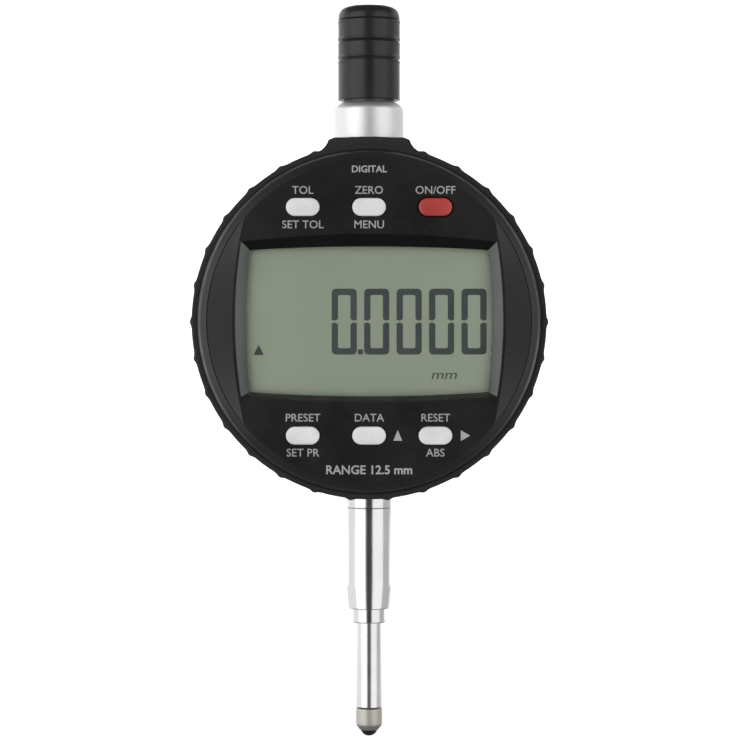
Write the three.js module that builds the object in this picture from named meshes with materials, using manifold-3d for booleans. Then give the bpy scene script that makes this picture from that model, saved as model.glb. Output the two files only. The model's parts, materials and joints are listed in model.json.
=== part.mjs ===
// Digital plunger indicator with a swivelling display head, as separate solids in millimetres.
//
// Shapes are drawn about the head's centre: +X to the right of the display, +Z up along the
// spindle, and the display facing -Y. The spindle line is x = 0, y = 0. The finished group is
// lifted by HEAD_ABOVE_CLAMP, so that the origin is the middle of the stem's clamping length.

import * as THREE from 'three';
import { mergeVertices } from 'three/addons/utils/BufferGeometryUtils.js';
import Module from 'manifold-3d';

const wasm = await Module();
wasm.setup();

// ---- driving dimensions ----

const HEAD_ABOVE_CLAMP = 38;
const SEGMENTS = { large: 52, middle: 24, small: 12, coil: 8 };
const GAP = 0.2; // running clearance
const FIT = 0.1; // between two pieces that meet
const OVERLAP = 0.5; // how far bodies that are joined run into each other
const PAST = 1; // how far a cutter runs past a face
const FAR = 40; // beyond the whole head
const TRAVEL = 12.5;

const HOUSING = { radius: 28.5, wall: 1.9, front: -6.6, frontWall: 1.6, back: 7.5, portFlat: 27.7 };
const BOSS = { radius: 6.2, lowerTop: -19.1, upperBottom: 21 };
const LUG = { bottom: 20, top: 31.5, topHalfWidth: 5.9, fillet: 3.1, filletX: 9.9, filletZ: 31.9 };
const COVER = { front: 8, back: 9.5, edge: 0.5, screwOffset: 17.7, counterbore: 2.1, keyway: 2.2 };
const SCREW = {
  headRadius: 1.9,
  headHeight: 0.85,
  headEdge: 0.25,
  shankRadius: 0.8,
  length: 6.4,
  hole: 1,
  post: 2.6,
  crossLength: 1.25,
  crossWidth: 0.28,
  crossDepth: 0.5,
};
const HUB = { radius: 9, bore: 6.5, end: -9.25, screwCircle: 7.75, screwHole: 0.6 };
const HUB_SCREW = { headRadius: 1, headHeight: 0.45, shankRadius: 0.45, length: 3 };
const RETAINER = { radius: 11.6, thickness: 0.9, washerInner: 9.5, washerOuter: 11.4 };
const STOP = { circle: 14.1, pinRadius: 0.9, grooveDepth: 1.1, swing: 145, front: -7.9 };

const STEM = { radius: 4, bore: 3.2, top: -19.5, straightEnd: -45.2, end: -49.2, endRadius: 3.55 };
const NOSE = { radius: 3, bottom: -51.6, spigotTop: -46.4, bore: 2.5 };
const SPINDLE = { radius: 2.2, bottom: -66.3, headroom: 2, threadRadius: 1.4, threadDepth: 5.8 };
const BUSH = { inner: 2.3, outer: 3, length: 8.6, upperTop: 26.8 };
const BUFFER = { inner: 2.6, outer: 4.1, thickness: 0.7 };
const STOP_RING = { outer: 4, thickness: 1.8 };
const CONTACT = { radius: 2.25, straightEnd: -69, end: -69.95, endRadius: 1.35 };
const BALL = { radius: 1.5, centre: -69.7 };
const COLLAR = { radius: 6, bottom: 31.6, top: 37.9, bevel: 0.9, spigot: 4.5, spigotBottom: 27.2 };
const CAP = { radius: 5.35, inner: 4.4, bottom: 38.4, ceiling: 53.2, top: 54.8, round: 1.5, edge: 0.3 };
const CAP_BEADS = { heights: [45.4, 48.5, 52.3], rise: 0.15, halfWidth: 0.35 };
const CAP_SEAT = { radius: 4.2, top: 41 };

const CARRIER = { halfWidth: 4.2, halfDepth: 3.2, halfHeight: 5, screwHeight: 3.2, screwRadius: 0.7 };
const FORK = { end: -12.6, halfDepth: 1.5, halfHeight: 3 };
const ARM = { end: 10.9, back: -2, halfHeight: 1.5 };
const GUIDE = { x: -11, radius: 1, halfLength: 21 };
const GUIDE_LUG = { inner: 18.5, length: 3, halfWidth: 2, back: 2 };
const SCALE = { halfWidth: 3.5, front: 3.3, back: 4.1, bottom: -14, top: 8 };
const READER = { left: -22, right: 3.8, front: 5, back: 6, halfHeight: 14 };
const READER_HEAD = { halfWidth: 3, halfHeight: 4 };
const SPRING = {
  x: 9.5,
  lower: -20,
  upper: 2,
  coil: 1.7,
  wire: 0.22,
  turns: 10,
  eye: 1.12,
  eyeRoom: 2.6,
};
const SPRING_PIN = { radius: 0.6, shoulder: 1.6, headRadius: 1, headHeight: 0.5, postFront: -1.9 };
const BATTERY = { x: 15.4, radius: 10, front: 3.9, back: 7.1, negativeRadius: 8.8, step: 0.5 };
const TRAY = { floor: 2.9, floorTop: 3.4, wall: 0.6 };
const TERMINAL = { halfWidth: 1.5, halfLength: 6, front: 3.5, back: 3.8 };
const LID = {
  radius: 11.05,
  spigot: 10,
  face: 9.4,
  edge: 0.25,
  shoulder: 8.75,
  bottom: 7.3,
  lug: 10.9,
  lugHalfWidth: 2,
  lugTop: 7.75,
};
const COIN_SLOT = { length: 13, width: 1.8, depth: 0.8 };
const PORT = { halfWidth: 5, front: -1.4, back: 2.8, depth: 6.8, wall: 1, pocket: 3, plug: 2.4 };
const PORT_PLATE = { halfWidth: 3.2, halfHeight: 6.2, corner: 1, thickness: 0.75 };

const SHELL = { radius: 28.8, inner: 27.3, back: -7, backWall: 1.8, rim: -17.3, rimInner: 27.6, hub: 9.25 };
const LEDGE = { inner: 26.6, back: -13.9, front: -14.9 };
const GRIP = { inner: 29, valley: 29.7, shoulder: 29.75, crest: 30.2, back: -7.3, front: -14, ribs: 30 };
const GRIP_EDGE = { height: 0.6, shrink: 0.99 };
const FACE = { radius: 27.3, back: -15, edge: -16.9, front: -17.6, ridge: 22.2, ridgeRadius: 76 };
const OPENING = { halfWidth: 22.2, top: 14.5, bottom: -13.4, bulgeX: 1, bulgeTop: 1.3, bulgeBottom: 0.9 };
const SIGHT = { halfWidth: 20.5, top: 12.5, bottom: -12.45, bulgeX: 0.65, bulgeTop: 0.6, bulgeBottom: 0.7 };
const RECESS = { floor: -16.2, pocketFront: -15.8, past: 0.4 };
const LENS = { halfWidth: 21.4, halfHeight: 13.2, front: -15.75, back: -15.05, corner: 1 };
const LCD = { halfWidth: 21.3, halfHeight: 13.4, front: -14.9, back: -13.1 };
const FRAME = { wall: 0.8, corner: 1.2, lipX: 1, lipZ: 3 };
const CONNECTOR = { halfWidth: 18, offset: 9.2, halfHeight: 0.8 };
const BOARD = { radius: 25.6, front: -12, back: -11 };
const CHIP = { left: 14, right: 21, halfHeight: 3.5, height: 1 };
const BUTTON = { width: 5.6, height: 3, pitch: 11, row: 18.95, proud: 0.55, flange: 0.9, crown: 0.3 };
const BUTTON_DEPTH = { flangeFront: -14.9, flangeBack: -14.1, matFront: -13.5, matBack: -12.9 };
const MAT = { halfWidth: 15.5, halfHeight: 3.2, corner: 1.2 };

const BUTTONS = [
  { name: 'button_tolerance', column: -1, row: 1, finish: 'keyWhite' },
  { name: 'button_menu', column: 0, row: 1, finish: 'keyWhite' },
  { name: 'button_power', column: 1, row: 1, finish: 'keyRed' },
  { name: 'button_preset', column: -1, row: -1, finish: 'keyWhite' },
  { name: 'button_data', column: 0, row: -1, finish: 'keyWhite' },
  { name: 'button_reset', column: 1, row: -1, finish: 'keyWhite' },
];

const FINISHES = {
  blackPlastic: { color: 0x2b2a29, roughness: 0.5, metalness: 0 },
  blackMetal: { color: 0x232323, roughness: 0.55, metalness: 0.2 },
  rubber: { color: 0x1a1a1a, roughness: 0.8, metalness: 0 },
  capPlastic: { color: 0x3a3739, roughness: 0.45, metalness: 0 },
  chrome: { color: 0xe6e6e6, roughness: 0.12, metalness: 1 },
  steel: { color: 0xaaa59a, roughness: 0.3, metalness: 1 },
  carbide: { color: 0x54544e, roughness: 0.2, metalness: 1 },
  brass: { color: 0xb5913f, roughness: 0.35, metalness: 1 },
  board: { color: 0x1d5a34, roughness: 0.6, metalness: 0 },
  clear: { color: 0xf4f6f4, roughness: 0.05, metalness: 0 },
  display: { color: 0x818b7c, roughness: 0.4, metalness: 0 },
  keyWhite: { color: 0xd9d9d8, roughness: 0.45, metalness: 0 },
  keyRed: { color: 0xb23a35, roughness: 0.45, metalness: 0 },
  greyRubber: { color: 0x6d6f70, roughness: 0.8, metalness: 0 },
};

// ---- solids ----

/** Turns a geometry into a solid: merged corners, no empty triangles, faces pointing out. */
function solid(geometry) {
  const bare = geometry.clone();
  bare.deleteAttribute('normal');
  bare.deleteAttribute('uv');
  const merged = mergeVertices(bare, 1e-4);
  const points = merged.attributes.position.array;
  const corners = merged.index.array;
  const kept = [];
  let volume = 0;
  for (let i = 0; i < corners.length; i += 3) {
    const [a, b, c] = [corners[i], corners[i + 1], corners[i + 2]];
    if (a === b || b === c || c === a) continue;
    kept.push(a, b, c);
    const [pa, pb, pc] = [a, b, c].map((v) => new THREE.Vector3().fromArray(points, 3 * v));
    volume += pa.dot(pb.cross(pc));
  }
  if (volume < 0) kept.reverse();
  const mesh = new wasm.Mesh({ numProp: 3, vertProperties: points, triVerts: Uint32Array.from(kept) });
  return new wasm.Manifold(mesh);
}

function join(...geometries) {
  return geometries.map(asSolid).reduce((sum, next) => sum.add(next));
}

function cut(base, ...tools) {
  return tools.map(asSolid).reduce((rest, tool) => rest.subtract(tool), asSolid(base));
}

function common(first, second) {
  return asSolid(first).intersect(asSolid(second));
}

function asSolid(shape) {
  return shape.isBufferGeometry ? solid(shape) : shape;
}

/** The named mesh of one sub-part. */
function piece(name, shape, finish) {
  const mesh = asSolid(shape).getMesh();
  const geometry = new THREE.BufferGeometry();
  geometry.setAttribute('position', new THREE.BufferAttribute(new Float32Array(mesh.vertProperties), 3));
  geometry.setIndex(new THREE.BufferAttribute(new Uint32Array(mesh.triVerts), 1));
  geometry.computeVertexNormals();
  const part = new THREE.Mesh(geometry, new THREE.MeshStandardMaterial(FINISHES[finish]));
  part.name = name;
  return part;
}

// ---- basic forms ----

function revolve(profile, segments) {
  return new THREE.LatheGeometry(profile.map(([r, h]) => new THREE.Vector2(r, h)), segments);
}

/** Turned about the spindle line. Profile points are [radius, z]. */
function turned(profile, segments = SEGMENTS.middle) {
  return revolve(profile, segments).rotateX(Math.PI / 2);
}

/** Turned about the front-to-back line through (x, z). Profile points are [radius, y]. */
function faced(profile, segments = SEGMENTS.large, x = 0, z = 0) {
  return revolve(profile, segments).translate(x, 0, z);
}

function rod(radius, from, to) {
  return [[0, from], [radius, from], [radius, to], [0, to]];
}

function tube(inner, outer, from, to) {
  return [[inner, from], [outer, from], [outer, to], [inner, to], [inner, from]];
}

function block([x0, x1], [y0, y1], [z0, z1]) {
  const box = new THREE.BoxGeometry(x1 - x0, y1 - y0, z1 - z0);
  return box.translate((x0 + x1) / 2, (y0 + y1) / 2, (z0 + z1) / 2);
}

/** An outline in the face plane, [x, z] points, carried from y = back to y = front. */
function slab(outline, back, front) {
  const shape = new THREE.Shape(outline.map(([x, z]) => new THREE.Vector2(x, z)));
  const plate = new THREE.ExtrudeGeometry(shape, { depth: back - front, bevelEnabled: false });
  return plate.rotateX(Math.PI / 2).translate(0, back, 0);
}

/** A closed body between two outlines with the same number of [x, z] points. */
function loft(outlineA, yA, outlineB, yB) {
  const n = outlineA.length;
  const positions = [];
  for (const [outline, y] of [[outlineA, yA], [outlineB, yB]]) {
    for (const [x, z] of outline) positions.push(x, y, z);
  }
  const faces = [];
  for (let i = 0; i < n; i += 1) {
    const j = (i + 1) % n;
    faces.push(i, j, n + j, i, n + j, n + i);
  }
  const cap = THREE.ShapeUtils.triangulateShape(outlineA.map(([x, z]) => new THREE.Vector2(x, z)), []);
  for (const [a, b, c] of cap) faces.push(c, b, a, n + a, n + b, n + c);
  const geometry = new THREE.BufferGeometry();
  geometry.setAttribute('position', new THREE.Float32BufferAttribute(positions, 3));
  geometry.setIndex(faces);
  return geometry;
}

// ---- outlines ----

function arc(cx, cz, radius, fromDegrees, toDegrees, steps) {
  const points = [];
  for (let i = 0; i <= steps; i += 1) {
    const angle = THREE.MathUtils.degToRad(fromDegrees + ((toDegrees - fromDegrees) * i) / steps);
    points.push([cx + radius * Math.cos(angle), cz + radius * Math.sin(angle)]);
  }
  return points;
}

function stadium(width, height, cx, cz, steps = 7) {
  const radius = height / 2;
  const reach = width / 2 - radius;
  return [
    ...arc(cx + reach, cz, radius, -90, 90, steps),
    ...arc(cx - reach, cz, radius, 90, 270, steps),
  ];
}

function roundedRectangle(halfWidth, halfHeight, corner, steps = 3) {
  const [x, z] = [halfWidth - corner, halfHeight - corner];
  return [
    ...arc(x, -z, corner, -90, 0, steps),
    ...arc(x, z, corner, 0, 90, steps),
    ...arc(-x, z, corner, 90, 180, steps),
    ...arc(-x, -z, corner, 180, 270, steps),
  ];
}

/** A rectangle whose four sides swell outwards as shallow parabolas. */
function pillow({ halfWidth, top, bottom, bulgeX, bulgeTop, bulgeBottom }, steps = 6) {
  const cornerX = halfWidth - bulgeX;
  const cornerTop = top - bulgeTop;
  const cornerBottom = bottom + bulgeBottom;
  const sides = [[], [], [], []];
  for (let i = 0; i < steps; i += 1) {
    const s = (2 * i) / steps - 1;
    const swell = 1 - s * s;
    const rise = THREE.MathUtils.lerp(cornerBottom, cornerTop, i / steps);
    const fall = THREE.MathUtils.lerp(cornerTop, cornerBottom, i / steps);
    sides[0].push([cornerX + bulgeX * swell, rise]);
    sides[1].push([-s * cornerX, cornerTop + bulgeTop * swell]);
    sides[2].push([-cornerX - bulgeX * swell, fall]);
    sides[3].push([s * cornerX, cornerBottom - bulgeBottom * swell]);
  }
  return sides.flat();
}

/** Blends two pillow outlines: 0 gives the first and 1 the second. */
function blendPillows(first, second, share) {
  const blended = {};
  for (const key of Object.keys(first)) blended[key] = THREE.MathUtils.lerp(first[key], second[key], share);
  return blended;
}

// ---- fixed housing ----

/** A closed outline from its right-hand side, bottom to top, and the mirror image of that. */
function mirrored(rightSide) {
  return [...rightSide, ...rightSide.map(([x, z]) => [-x, z]).reverse()];
}

/** The lug over the housing that carries the collar, with hollow flanks down to the round wall. */
function topLug() {
  const flank = arc(LUG.filletX, LUG.filletZ, LUG.fillet, 265, 195, 5);
  const side = [[flank[0][0], LUG.bottom], ...flank, [LUG.topHalfWidth, LUG.top]];
  return slab(mirrored(side), HOUSING.back, HOUSING.front);
}

/** What stands up inside the housing: guide lugs, screw posts and the two spindle bosses. */
function housingInside(floor) {
  const { radius, front, back } = HOUSING;
  const guideLugs = [1, -1].map((side) => {
    const { inner, length, halfWidth } = GUIDE_LUG;
    const ends = [side * inner, side * (inner + length)].sort((a, b) => a - b);
    return block([GUIDE.x - halfWidth, GUIDE.x + halfWidth], [floor - OVERLAP, GUIDE_LUG.back], ends);
  });
  const post = rod(SCREW.post, floor - OVERLAP, back - FIT);
  const posts = coverScrewPlaces().map(([x, z]) => faced(post, SEGMENTS.small, x, z));
  const wallFace = radius - OVERLAP;
  const bosses = [
    turned(rod(BOSS.radius, -wallFace, BOSS.lowerTop)),
    turned(rod(BOSS.radius, BOSS.upperBottom, wallFace)),
  ];
  return common(join(...guideLugs, ...posts, ...bosses), faced(rod(wallFace, front + OVERLAP, back)));
}

function rearHousing() {
  const { radius, wall, front, frontWall, back, portFlat } = HOUSING;
  const floor = front + frontWall;
  const drum = join(faced(rod(radius, front, back)), topLug());
  const cavity = faced(rod(radius - wall, floor, back + PAST));
  const hub = faced(rod(HUB.radius, front + OVERLAP, HUB.end));
  const body = join(cut(drum, cavity), housingInside(floor), hub);
  const guideHole = turned(rod(GUIDE.radius + GAP, -GUIDE.halfLength, GUIDE.halfLength), SEGMENTS.small);
  const screwHole = rod(SCREW.shankRadius + GAP, SCREW.hole, back + PAST);
  const hubScrewHole = rod(HUB.screwHole, HUB.end - PAST, front + OVERLAP);
  const anchorHole = rod(SPRING_PIN.radius + GAP, front + OVERLAP, floor + PAST);
  const pocket = PORT.halfWidth + GAP;
  return cut(
    body,
    faced(rod(HUB.bore, HUB.end - PAST, floor + PAST), SEGMENTS.middle),
    turned(rod(STEM.radius + GAP, -FAR, BOSS.lowerTop + PAST)),
    turned(rod(BUSH.outer + GAP, BOSS.upperBottom - PAST, FAR)),
    turned(rod(COLLAR.spigot + GAP, COLLAR.spigotBottom - GAP, FAR)),
    guideHole.translate(GUIDE.x, 0, 0),
    faced(rod(STOP.pinRadius + GAP, front - PAST, floor + PAST), SEGMENTS.small, 0, -STOP.circle),
    faced(anchorHole, SEGMENTS.small, SPRING.x, SPRING.lower),
    ...coverScrewPlaces().map(([x, z]) => faced(screwHole, SEGMENTS.small, x, z)),
    ...hubScrewPlaces().map(([x, z]) => faced(hubScrewHole, SEGMENTS.small, x, z)),
    block([-FAR, -portFlat], [front - PAST, back + PAST], [-FAR, FAR]),
    block([-FAR, -portFlat + PORT.pocket], [PORT.front - GAP, PORT.back + GAP], [-pocket, pocket]),
  );
}

function coverScrewPlaces() {
  const d = COVER.screwOffset;
  return [[-d, d], [d, d], [d, -d], [-d, -d]];
}

function hubScrewPlaces() {
  return [90, 210, 330].map((degrees) => arc(0, 0, HUB.screwCircle, degrees, degrees, 1)[0]);
}

function backCover() {
  const { front, back, edge, counterbore, keyway } = COVER;
  const rim = HOUSING.radius;
  const plate = faced([[0, front], [rim, front], [rim, back - edge], [rim - edge, back], [0, back]]);
  const reach = LID.lug + GAP;
  const acrossLugs = [BATTERY.x - reach, BATTERY.x + reach];
  const lugWay = block(acrossLugs, [front - PAST, LID.shoulder], [-keyway, keyway]);
  const lidSeat = rod(LID.radius + GAP, LID.shoulder - FIT, back + PAST);
  const headSeat = back - PAST;
  const screwHole = [
    [0, front - PAST],
    [SCREW.hole, front - PAST],
    [SCREW.hole, headSeat],
    [counterbore, headSeat],
    [counterbore, back + PAST],
    [0, back + PAST],
  ];
  return cut(
    plate,
    faced(rod(LID.spigot + GAP, front - PAST, back + PAST), SEGMENTS.middle, BATTERY.x),
    faced(lidSeat, SEGMENTS.middle, BATTERY.x),
    common(lugWay, faced(rod(reach, front - PAST, back), SEGMENTS.middle, BATTERY.x)),
    ...coverScrewPlaces().map(([x, z]) => faced(screwHole, SEGMENTS.small, x, z)),
    block([-FAR, -HOUSING.portFlat], [front - PAST, back + PAST], [-FAR, FAR]),
  );
}

function coverGasket() {
  const { radius, wall, portFlat } = HOUSING;
  const crush = FIT / 2;
  const ring = tube(radius - wall + GAP, radius - GAP, HOUSING.back + crush, COVER.front - crush);
  return cut(faced(ring), block([-FAR, -portFlat - crush], [0, COVER.back], [-FAR, FAR]));
}

function coverScrew(x, z) {
  const { headRadius, headHeight, headEdge, shankRadius, length } = SCREW;
  const { crossLength, crossWidth, crossDepth } = SCREW;
  const top = COVER.back - FIT;
  const underHead = top - headHeight;
  const profile = [
    [0, underHead - length],
    [shankRadius, underHead - length],
    [shankRadius, underHead],
    [headRadius, underHead],
    [headRadius, top - headEdge],
    [headRadius - headEdge, top],
    [0, top],
  ];
  const cross = [[crossLength, crossWidth], [crossWidth, crossLength]].map(([halfX, halfZ]) => (
    block([x - halfX, x + halfX], [top - crossDepth, top + PAST], [z - halfZ, z + halfZ])
  ));
  return cut(faced(profile, SEGMENTS.small, x, z), ...cross);
}

function housingPieces() {
  return [
    piece('rear_housing', rearHousing(), 'blackMetal'),
    piece('back_cover', backCover(), 'blackPlastic'),
    piece('back_cover_gasket', coverGasket(), 'rubber'),
    ...coverScrewPlaces().map(([x, z], i) => (
      piece(`back_cover_screw_${i + 1}`, coverScrew(x, z), 'steel')
    )),
  ];
}

// ---- stem and guides ----

function stem() {
  const { radius, bore, top, straightEnd, end, endRadius } = STEM;
  return turned([
    [bore, end],
    [endRadius, end],
    [radius, straightEnd],
    [radius, top],
    [bore, top],
    [bore, end],
  ]);
}

function stemNose() {
  const { radius, bottom, spigotTop, bore } = NOSE;
  const edge = 0.35;
  return turned([
    [bore, bottom],
    [radius - edge, bottom],
    [radius, bottom + edge],
    [radius, spigotTop],
    [bore, spigotTop],
    [bore, bottom],
  ]);
}

function collar() {
  const { radius, bottom, top, bevel, spigot, spigotBottom } = COLLAR;
  const bore = BUSH.inner + GAP;
  return turned([
    [bore, spigotBottom],
    [spigot, spigotBottom],
    [spigot, bottom],
    [radius, bottom],
    [radius, top - bevel],
    [radius - bevel, top],
    [CAP_SEAT.radius, top],
    [CAP_SEAT.radius, CAP_SEAT.top],
    [bore, CAP_SEAT.top],
    [bore, spigotBottom],
  ]);
}

function stemPieces() {
  const { inner, outer, length, upperTop } = BUSH;
  const lowerStart = NOSE.spigotTop + GAP;
  const bufferStart = BOSS.lowerTop + FIT;
  const buffer = tube(BUFFER.inner, BUFFER.outer, bufferStart, bufferStart + BUFFER.thickness);
  return [
    piece('stem', stem(), 'chrome'),
    piece('lower_guide_bush', turned(tube(inner, outer, lowerStart, lowerStart + length)), 'brass'),
    piece('upper_guide_bush', turned(tube(inner, outer, BOSS.upperBottom + GAP, upperTop)), 'brass'),
    piece('stem_nose', stemNose(), 'chrome'),
    piece('cap_collar', collar(), 'chrome'),
    piece('buffer_ring', turned(buffer), 'rubber'),
  ];
}

function cap() {
  const { radius, inner, bottom, ceiling, top, round, edge } = CAP;
  const { heights, rise, halfWidth } = CAP_BEADS;
  const wall = [[inner, bottom], [radius - edge, bottom], [radius, bottom + edge]];
  for (const z of heights) wall.push([radius, z - halfWidth], [radius + rise, z], [radius, z + halfWidth]);
  const crown = arc(radius - round, top - round, round, 0, 90, 3);
  return turned([...wall, ...crown, [0, top], [0, ceiling], [inner, ceiling], [inner, bottom]]);
}

// ---- spindle set, which slides ----

function spindle() {
  const { radius, bottom, headroom, threadRadius, threadDepth } = SPINDLE;
  const top = CAP.ceiling - TRAVEL - headroom;
  const edge = 0.3;
  return turned([
    [0, bottom + threadDepth],
    [threadRadius, bottom + threadDepth],
    [threadRadius, bottom],
    [radius - edge, bottom],
    [radius, bottom + edge],
    [radius, top - edge],
    [radius - edge, top],
    [0, top],
  ]);
}

function contactPoint() {
  const { radius, straightEnd, end, endRadius } = CONTACT;
  const top = SPINDLE.bottom - FIT;
  const stud = SPINDLE.threadRadius - GAP;
  const studTop = SPINDLE.bottom + SPINDLE.threadDepth - 2 * GAP;
  const body = turned([
    [0, end],
    [endRadius, end],
    [radius, straightEnd],
    [radius, top],
    [stud, top],
    [stud, studTop],
    [0, studTop],
  ], SEGMENTS.small);
  const seat = new THREE.SphereGeometry(BALL.radius + FIT, SEGMENTS.small, SEGMENTS.small);
  return cut(body, seat.translate(0, 0, BALL.centre));
}

function contactBall() {
  const ball = new THREE.SphereGeometry(BALL.radius, SEGMENTS.small, SEGMENTS.small + 2);
  return ball.rotateX(Math.PI / 2).translate(0, 0, BALL.centre);
}

/** The block clamped to the spindle: a fork round the guide rod and an arm for the spring. */
function scaleCarrier() {
  const { halfWidth, halfDepth, halfHeight, screwHeight } = CARRIER;
  const hub = block([-halfWidth, halfWidth], [-halfDepth, halfDepth], [-halfHeight, halfHeight]);
  const fork = block(
    [FORK.end, OVERLAP - halfWidth],
    [-FORK.halfDepth, FORK.halfDepth],
    [-FORK.halfHeight, FORK.halfHeight],
  );
  const arm = block(
    [halfWidth - OVERLAP, ARM.end],
    [-halfDepth, ARM.back],
    [SPRING.upper - ARM.halfHeight, SPRING.upper + ARM.halfHeight],
  );
  const slot = GUIDE.radius + GAP;
  const screwRoom = PAST;
  return cut(
    join(hub, fork, arm),
    turned(rod(SPINDLE.radius + FIT, -FAR, FAR)),
    block([FORK.end - PAST, GUIDE.x + slot], [-slot, slot], [-halfHeight, halfHeight]),
    block(
      [halfWidth - 1.6, halfWidth + PAST],
      [-screwRoom, screwRoom],
      [screwHeight - screwRoom, screwHeight + screwRoom],
    ),
  );
}

function carrierScrew() {
  const screw = rod(CARRIER.screwRadius, SPINDLE.radius + 0.6, CARRIER.halfWidth + FIT);
  return revolve(screw, SEGMENTS.small).rotateZ(-Math.PI / 2).translate(0, 0, CARRIER.screwHeight);
}

/** A wire in the plane of the coil: an eye round each pin and the turns between them. */
function returnSpring() {
  const { x, lower, upper, coil, wire, turns, eye, eyeRoom } = SPRING;
  const eyeSteps = 5;
  const eyeTurn = 300;
  const eyePoints = (height, start) => arc(0, height, eye, start, start + eyeTurn, eyeSteps).map(
    ([across, up]) => new THREE.Vector3(across, 0, up),
  );
  const steps = turns * SEGMENTS.coil;
  const coilPoints = [];
  for (let i = 0; i <= steps; i += 1) {
    const angle = (2 * Math.PI * i) / SEGMENTS.coil;
    const height = THREE.MathUtils.lerp(lower + eyeRoom, upper - eyeRoom, i / steps);
    coilPoints.push(new THREE.Vector3(coil * Math.cos(angle), coil * Math.sin(angle), height));
  }
  const points = [...eyePoints(lower, 150), ...coilPoints, ...eyePoints(upper, -90)];
  const path = new THREE.CatmullRomCurve3(points);
  const section = new THREE.Shape(arc(0, 0, wire, 0, 288, 4).map(([a, b]) => new THREE.Vector2(a, b)));
  const settings = { steps: steps + 2 * eyeSteps, extrudePath: path, bevelEnabled: false };
  return new THREE.ExtrudeGeometry(section, settings).translate(x, 0, 0);
}

function springPin(z, from) {
  const { radius, shoulder, headRadius, headHeight } = SPRING_PIN;
  const profile = [
    [0, from],
    [radius, from],
    [radius, shoulder],
    [headRadius, shoulder],
    [headRadius, shoulder + headHeight],
    [0, shoulder + headHeight],
  ];
  return faced(profile, SEGMENTS.small, SPRING.x, z);
}

function spindlePieces() {
  const ringStart = BOSS.lowerTop + FIT + BUFFER.thickness + GAP;
  const stopRing = tube(SPINDLE.radius + FIT, STOP_RING.outer, ringStart, ringStart + STOP_RING.thickness);
  const { halfWidth, front, back, bottom, top } = SCALE;
  return [
    piece('spindle', spindle(), 'chrome'),
    piece('contact_point', contactPoint(), 'steel'),
    piece('contact_ball', contactBall(), 'carbide'),
    piece('spindle_stop_ring', turned(stopRing), 'steel'),
    piece('scale_carrier', scaleCarrier(), 'blackMetal'),
    piece('carrier_screw', carrierScrew(), 'steel'),
    piece('measuring_scale', block([-halfWidth, halfWidth], [front, back], [bottom, top]), 'clear'),
    piece('spring_post', springPin(SPRING.upper, SPRING_PIN.postFront), 'steel'),
  ];
}

// ---- inside the fixed housing ----

function readerBoard() {
  const { left, right, front, back, halfHeight } = READER;
  return block([left, right], [front, back], [-halfHeight, halfHeight]);
}

function batteryTray() {
  const { x, radius, back } = BATTERY;
  const inner = radius + GAP;
  const rim = back - GAP;
  return faced([
    [0, TRAY.floor],
    [inner + TRAY.wall, TRAY.floor],
    [inner + TRAY.wall, rim],
    [inner, rim],
    [inner, TRAY.floorTop],
    [0, TRAY.floorTop],
  ], SEGMENTS.middle, x);
}

function batteryCell() {
  const { x, radius, front, back, negativeRadius, step } = BATTERY;
  const edge = 0.3;
  return faced([
    [0, front],
    [negativeRadius, front],
    [negativeRadius + GAP, front + step],
    [radius, front + step],
    [radius, back - edge],
    [radius - edge, back],
    [0, back],
  ], SEGMENTS.middle, x);
}

/** Round battery cover with a coin slot and two lugs that turn under the back cover. */
function batteryLid() {
  const { radius, spigot, face, edge, shoulder, bottom, lug, lugHalfWidth, lugTop } = LID;
  const disc = faced([
    [0, bottom],
    [spigot, bottom],
    [spigot, shoulder],
    [radius, shoulder],
    [radius, face - edge],
    [radius - edge, face],
    [0, face],
  ], SEGMENTS.middle);
  const bar = block([-lugHalfWidth, lugHalfWidth], [bottom, lugTop], [-lug, lug]);
  const lugs = common(bar, faced(rod(lug, bottom, lugTop), SEGMENTS.middle));
  const { length, width, depth } = COIN_SLOT;
  const coinSlot = slab(stadium(length, width, 0, 0, 5), face + PAST, face - depth);
  return cut(join(disc, lugs), coinSlot).translate([BATTERY.x, 0, 0]);
}

function portSocket() {
  const { halfWidth, front, back, depth, wall } = PORT;
  const mouth = -HOUSING.portFlat + FIT;
  const shell = block([mouth, mouth + depth], [front, back], [-halfWidth, halfWidth]);
  const slot = block(
    [mouth - PAST, mouth + depth - wall],
    [front + wall, back - wall],
    [-halfWidth + wall, halfWidth - wall],
  );
  return cut(shell, slot);
}

function portCover() {
  const { halfWidth, front, back, wall, plug } = PORT;
  const { thickness, corner } = PORT_PLATE;
  const seat = -HOUSING.portFlat - FIT;
  const outline = roundedRectangle(PORT_PLATE.halfWidth, PORT_PLATE.halfHeight, corner);
  const plate = slab(outline, 0, -thickness).rotateZ(-Math.PI / 2).translate(seat, (front + back) / 2, 0);
  const reach = halfWidth - wall - GAP;
  const thick = [front + wall + GAP, back - wall - GAP];
  const stub = block([seat - OVERLAP, seat + plug], thick, [-reach, reach]);
  return join(plate, stub);
}

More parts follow.
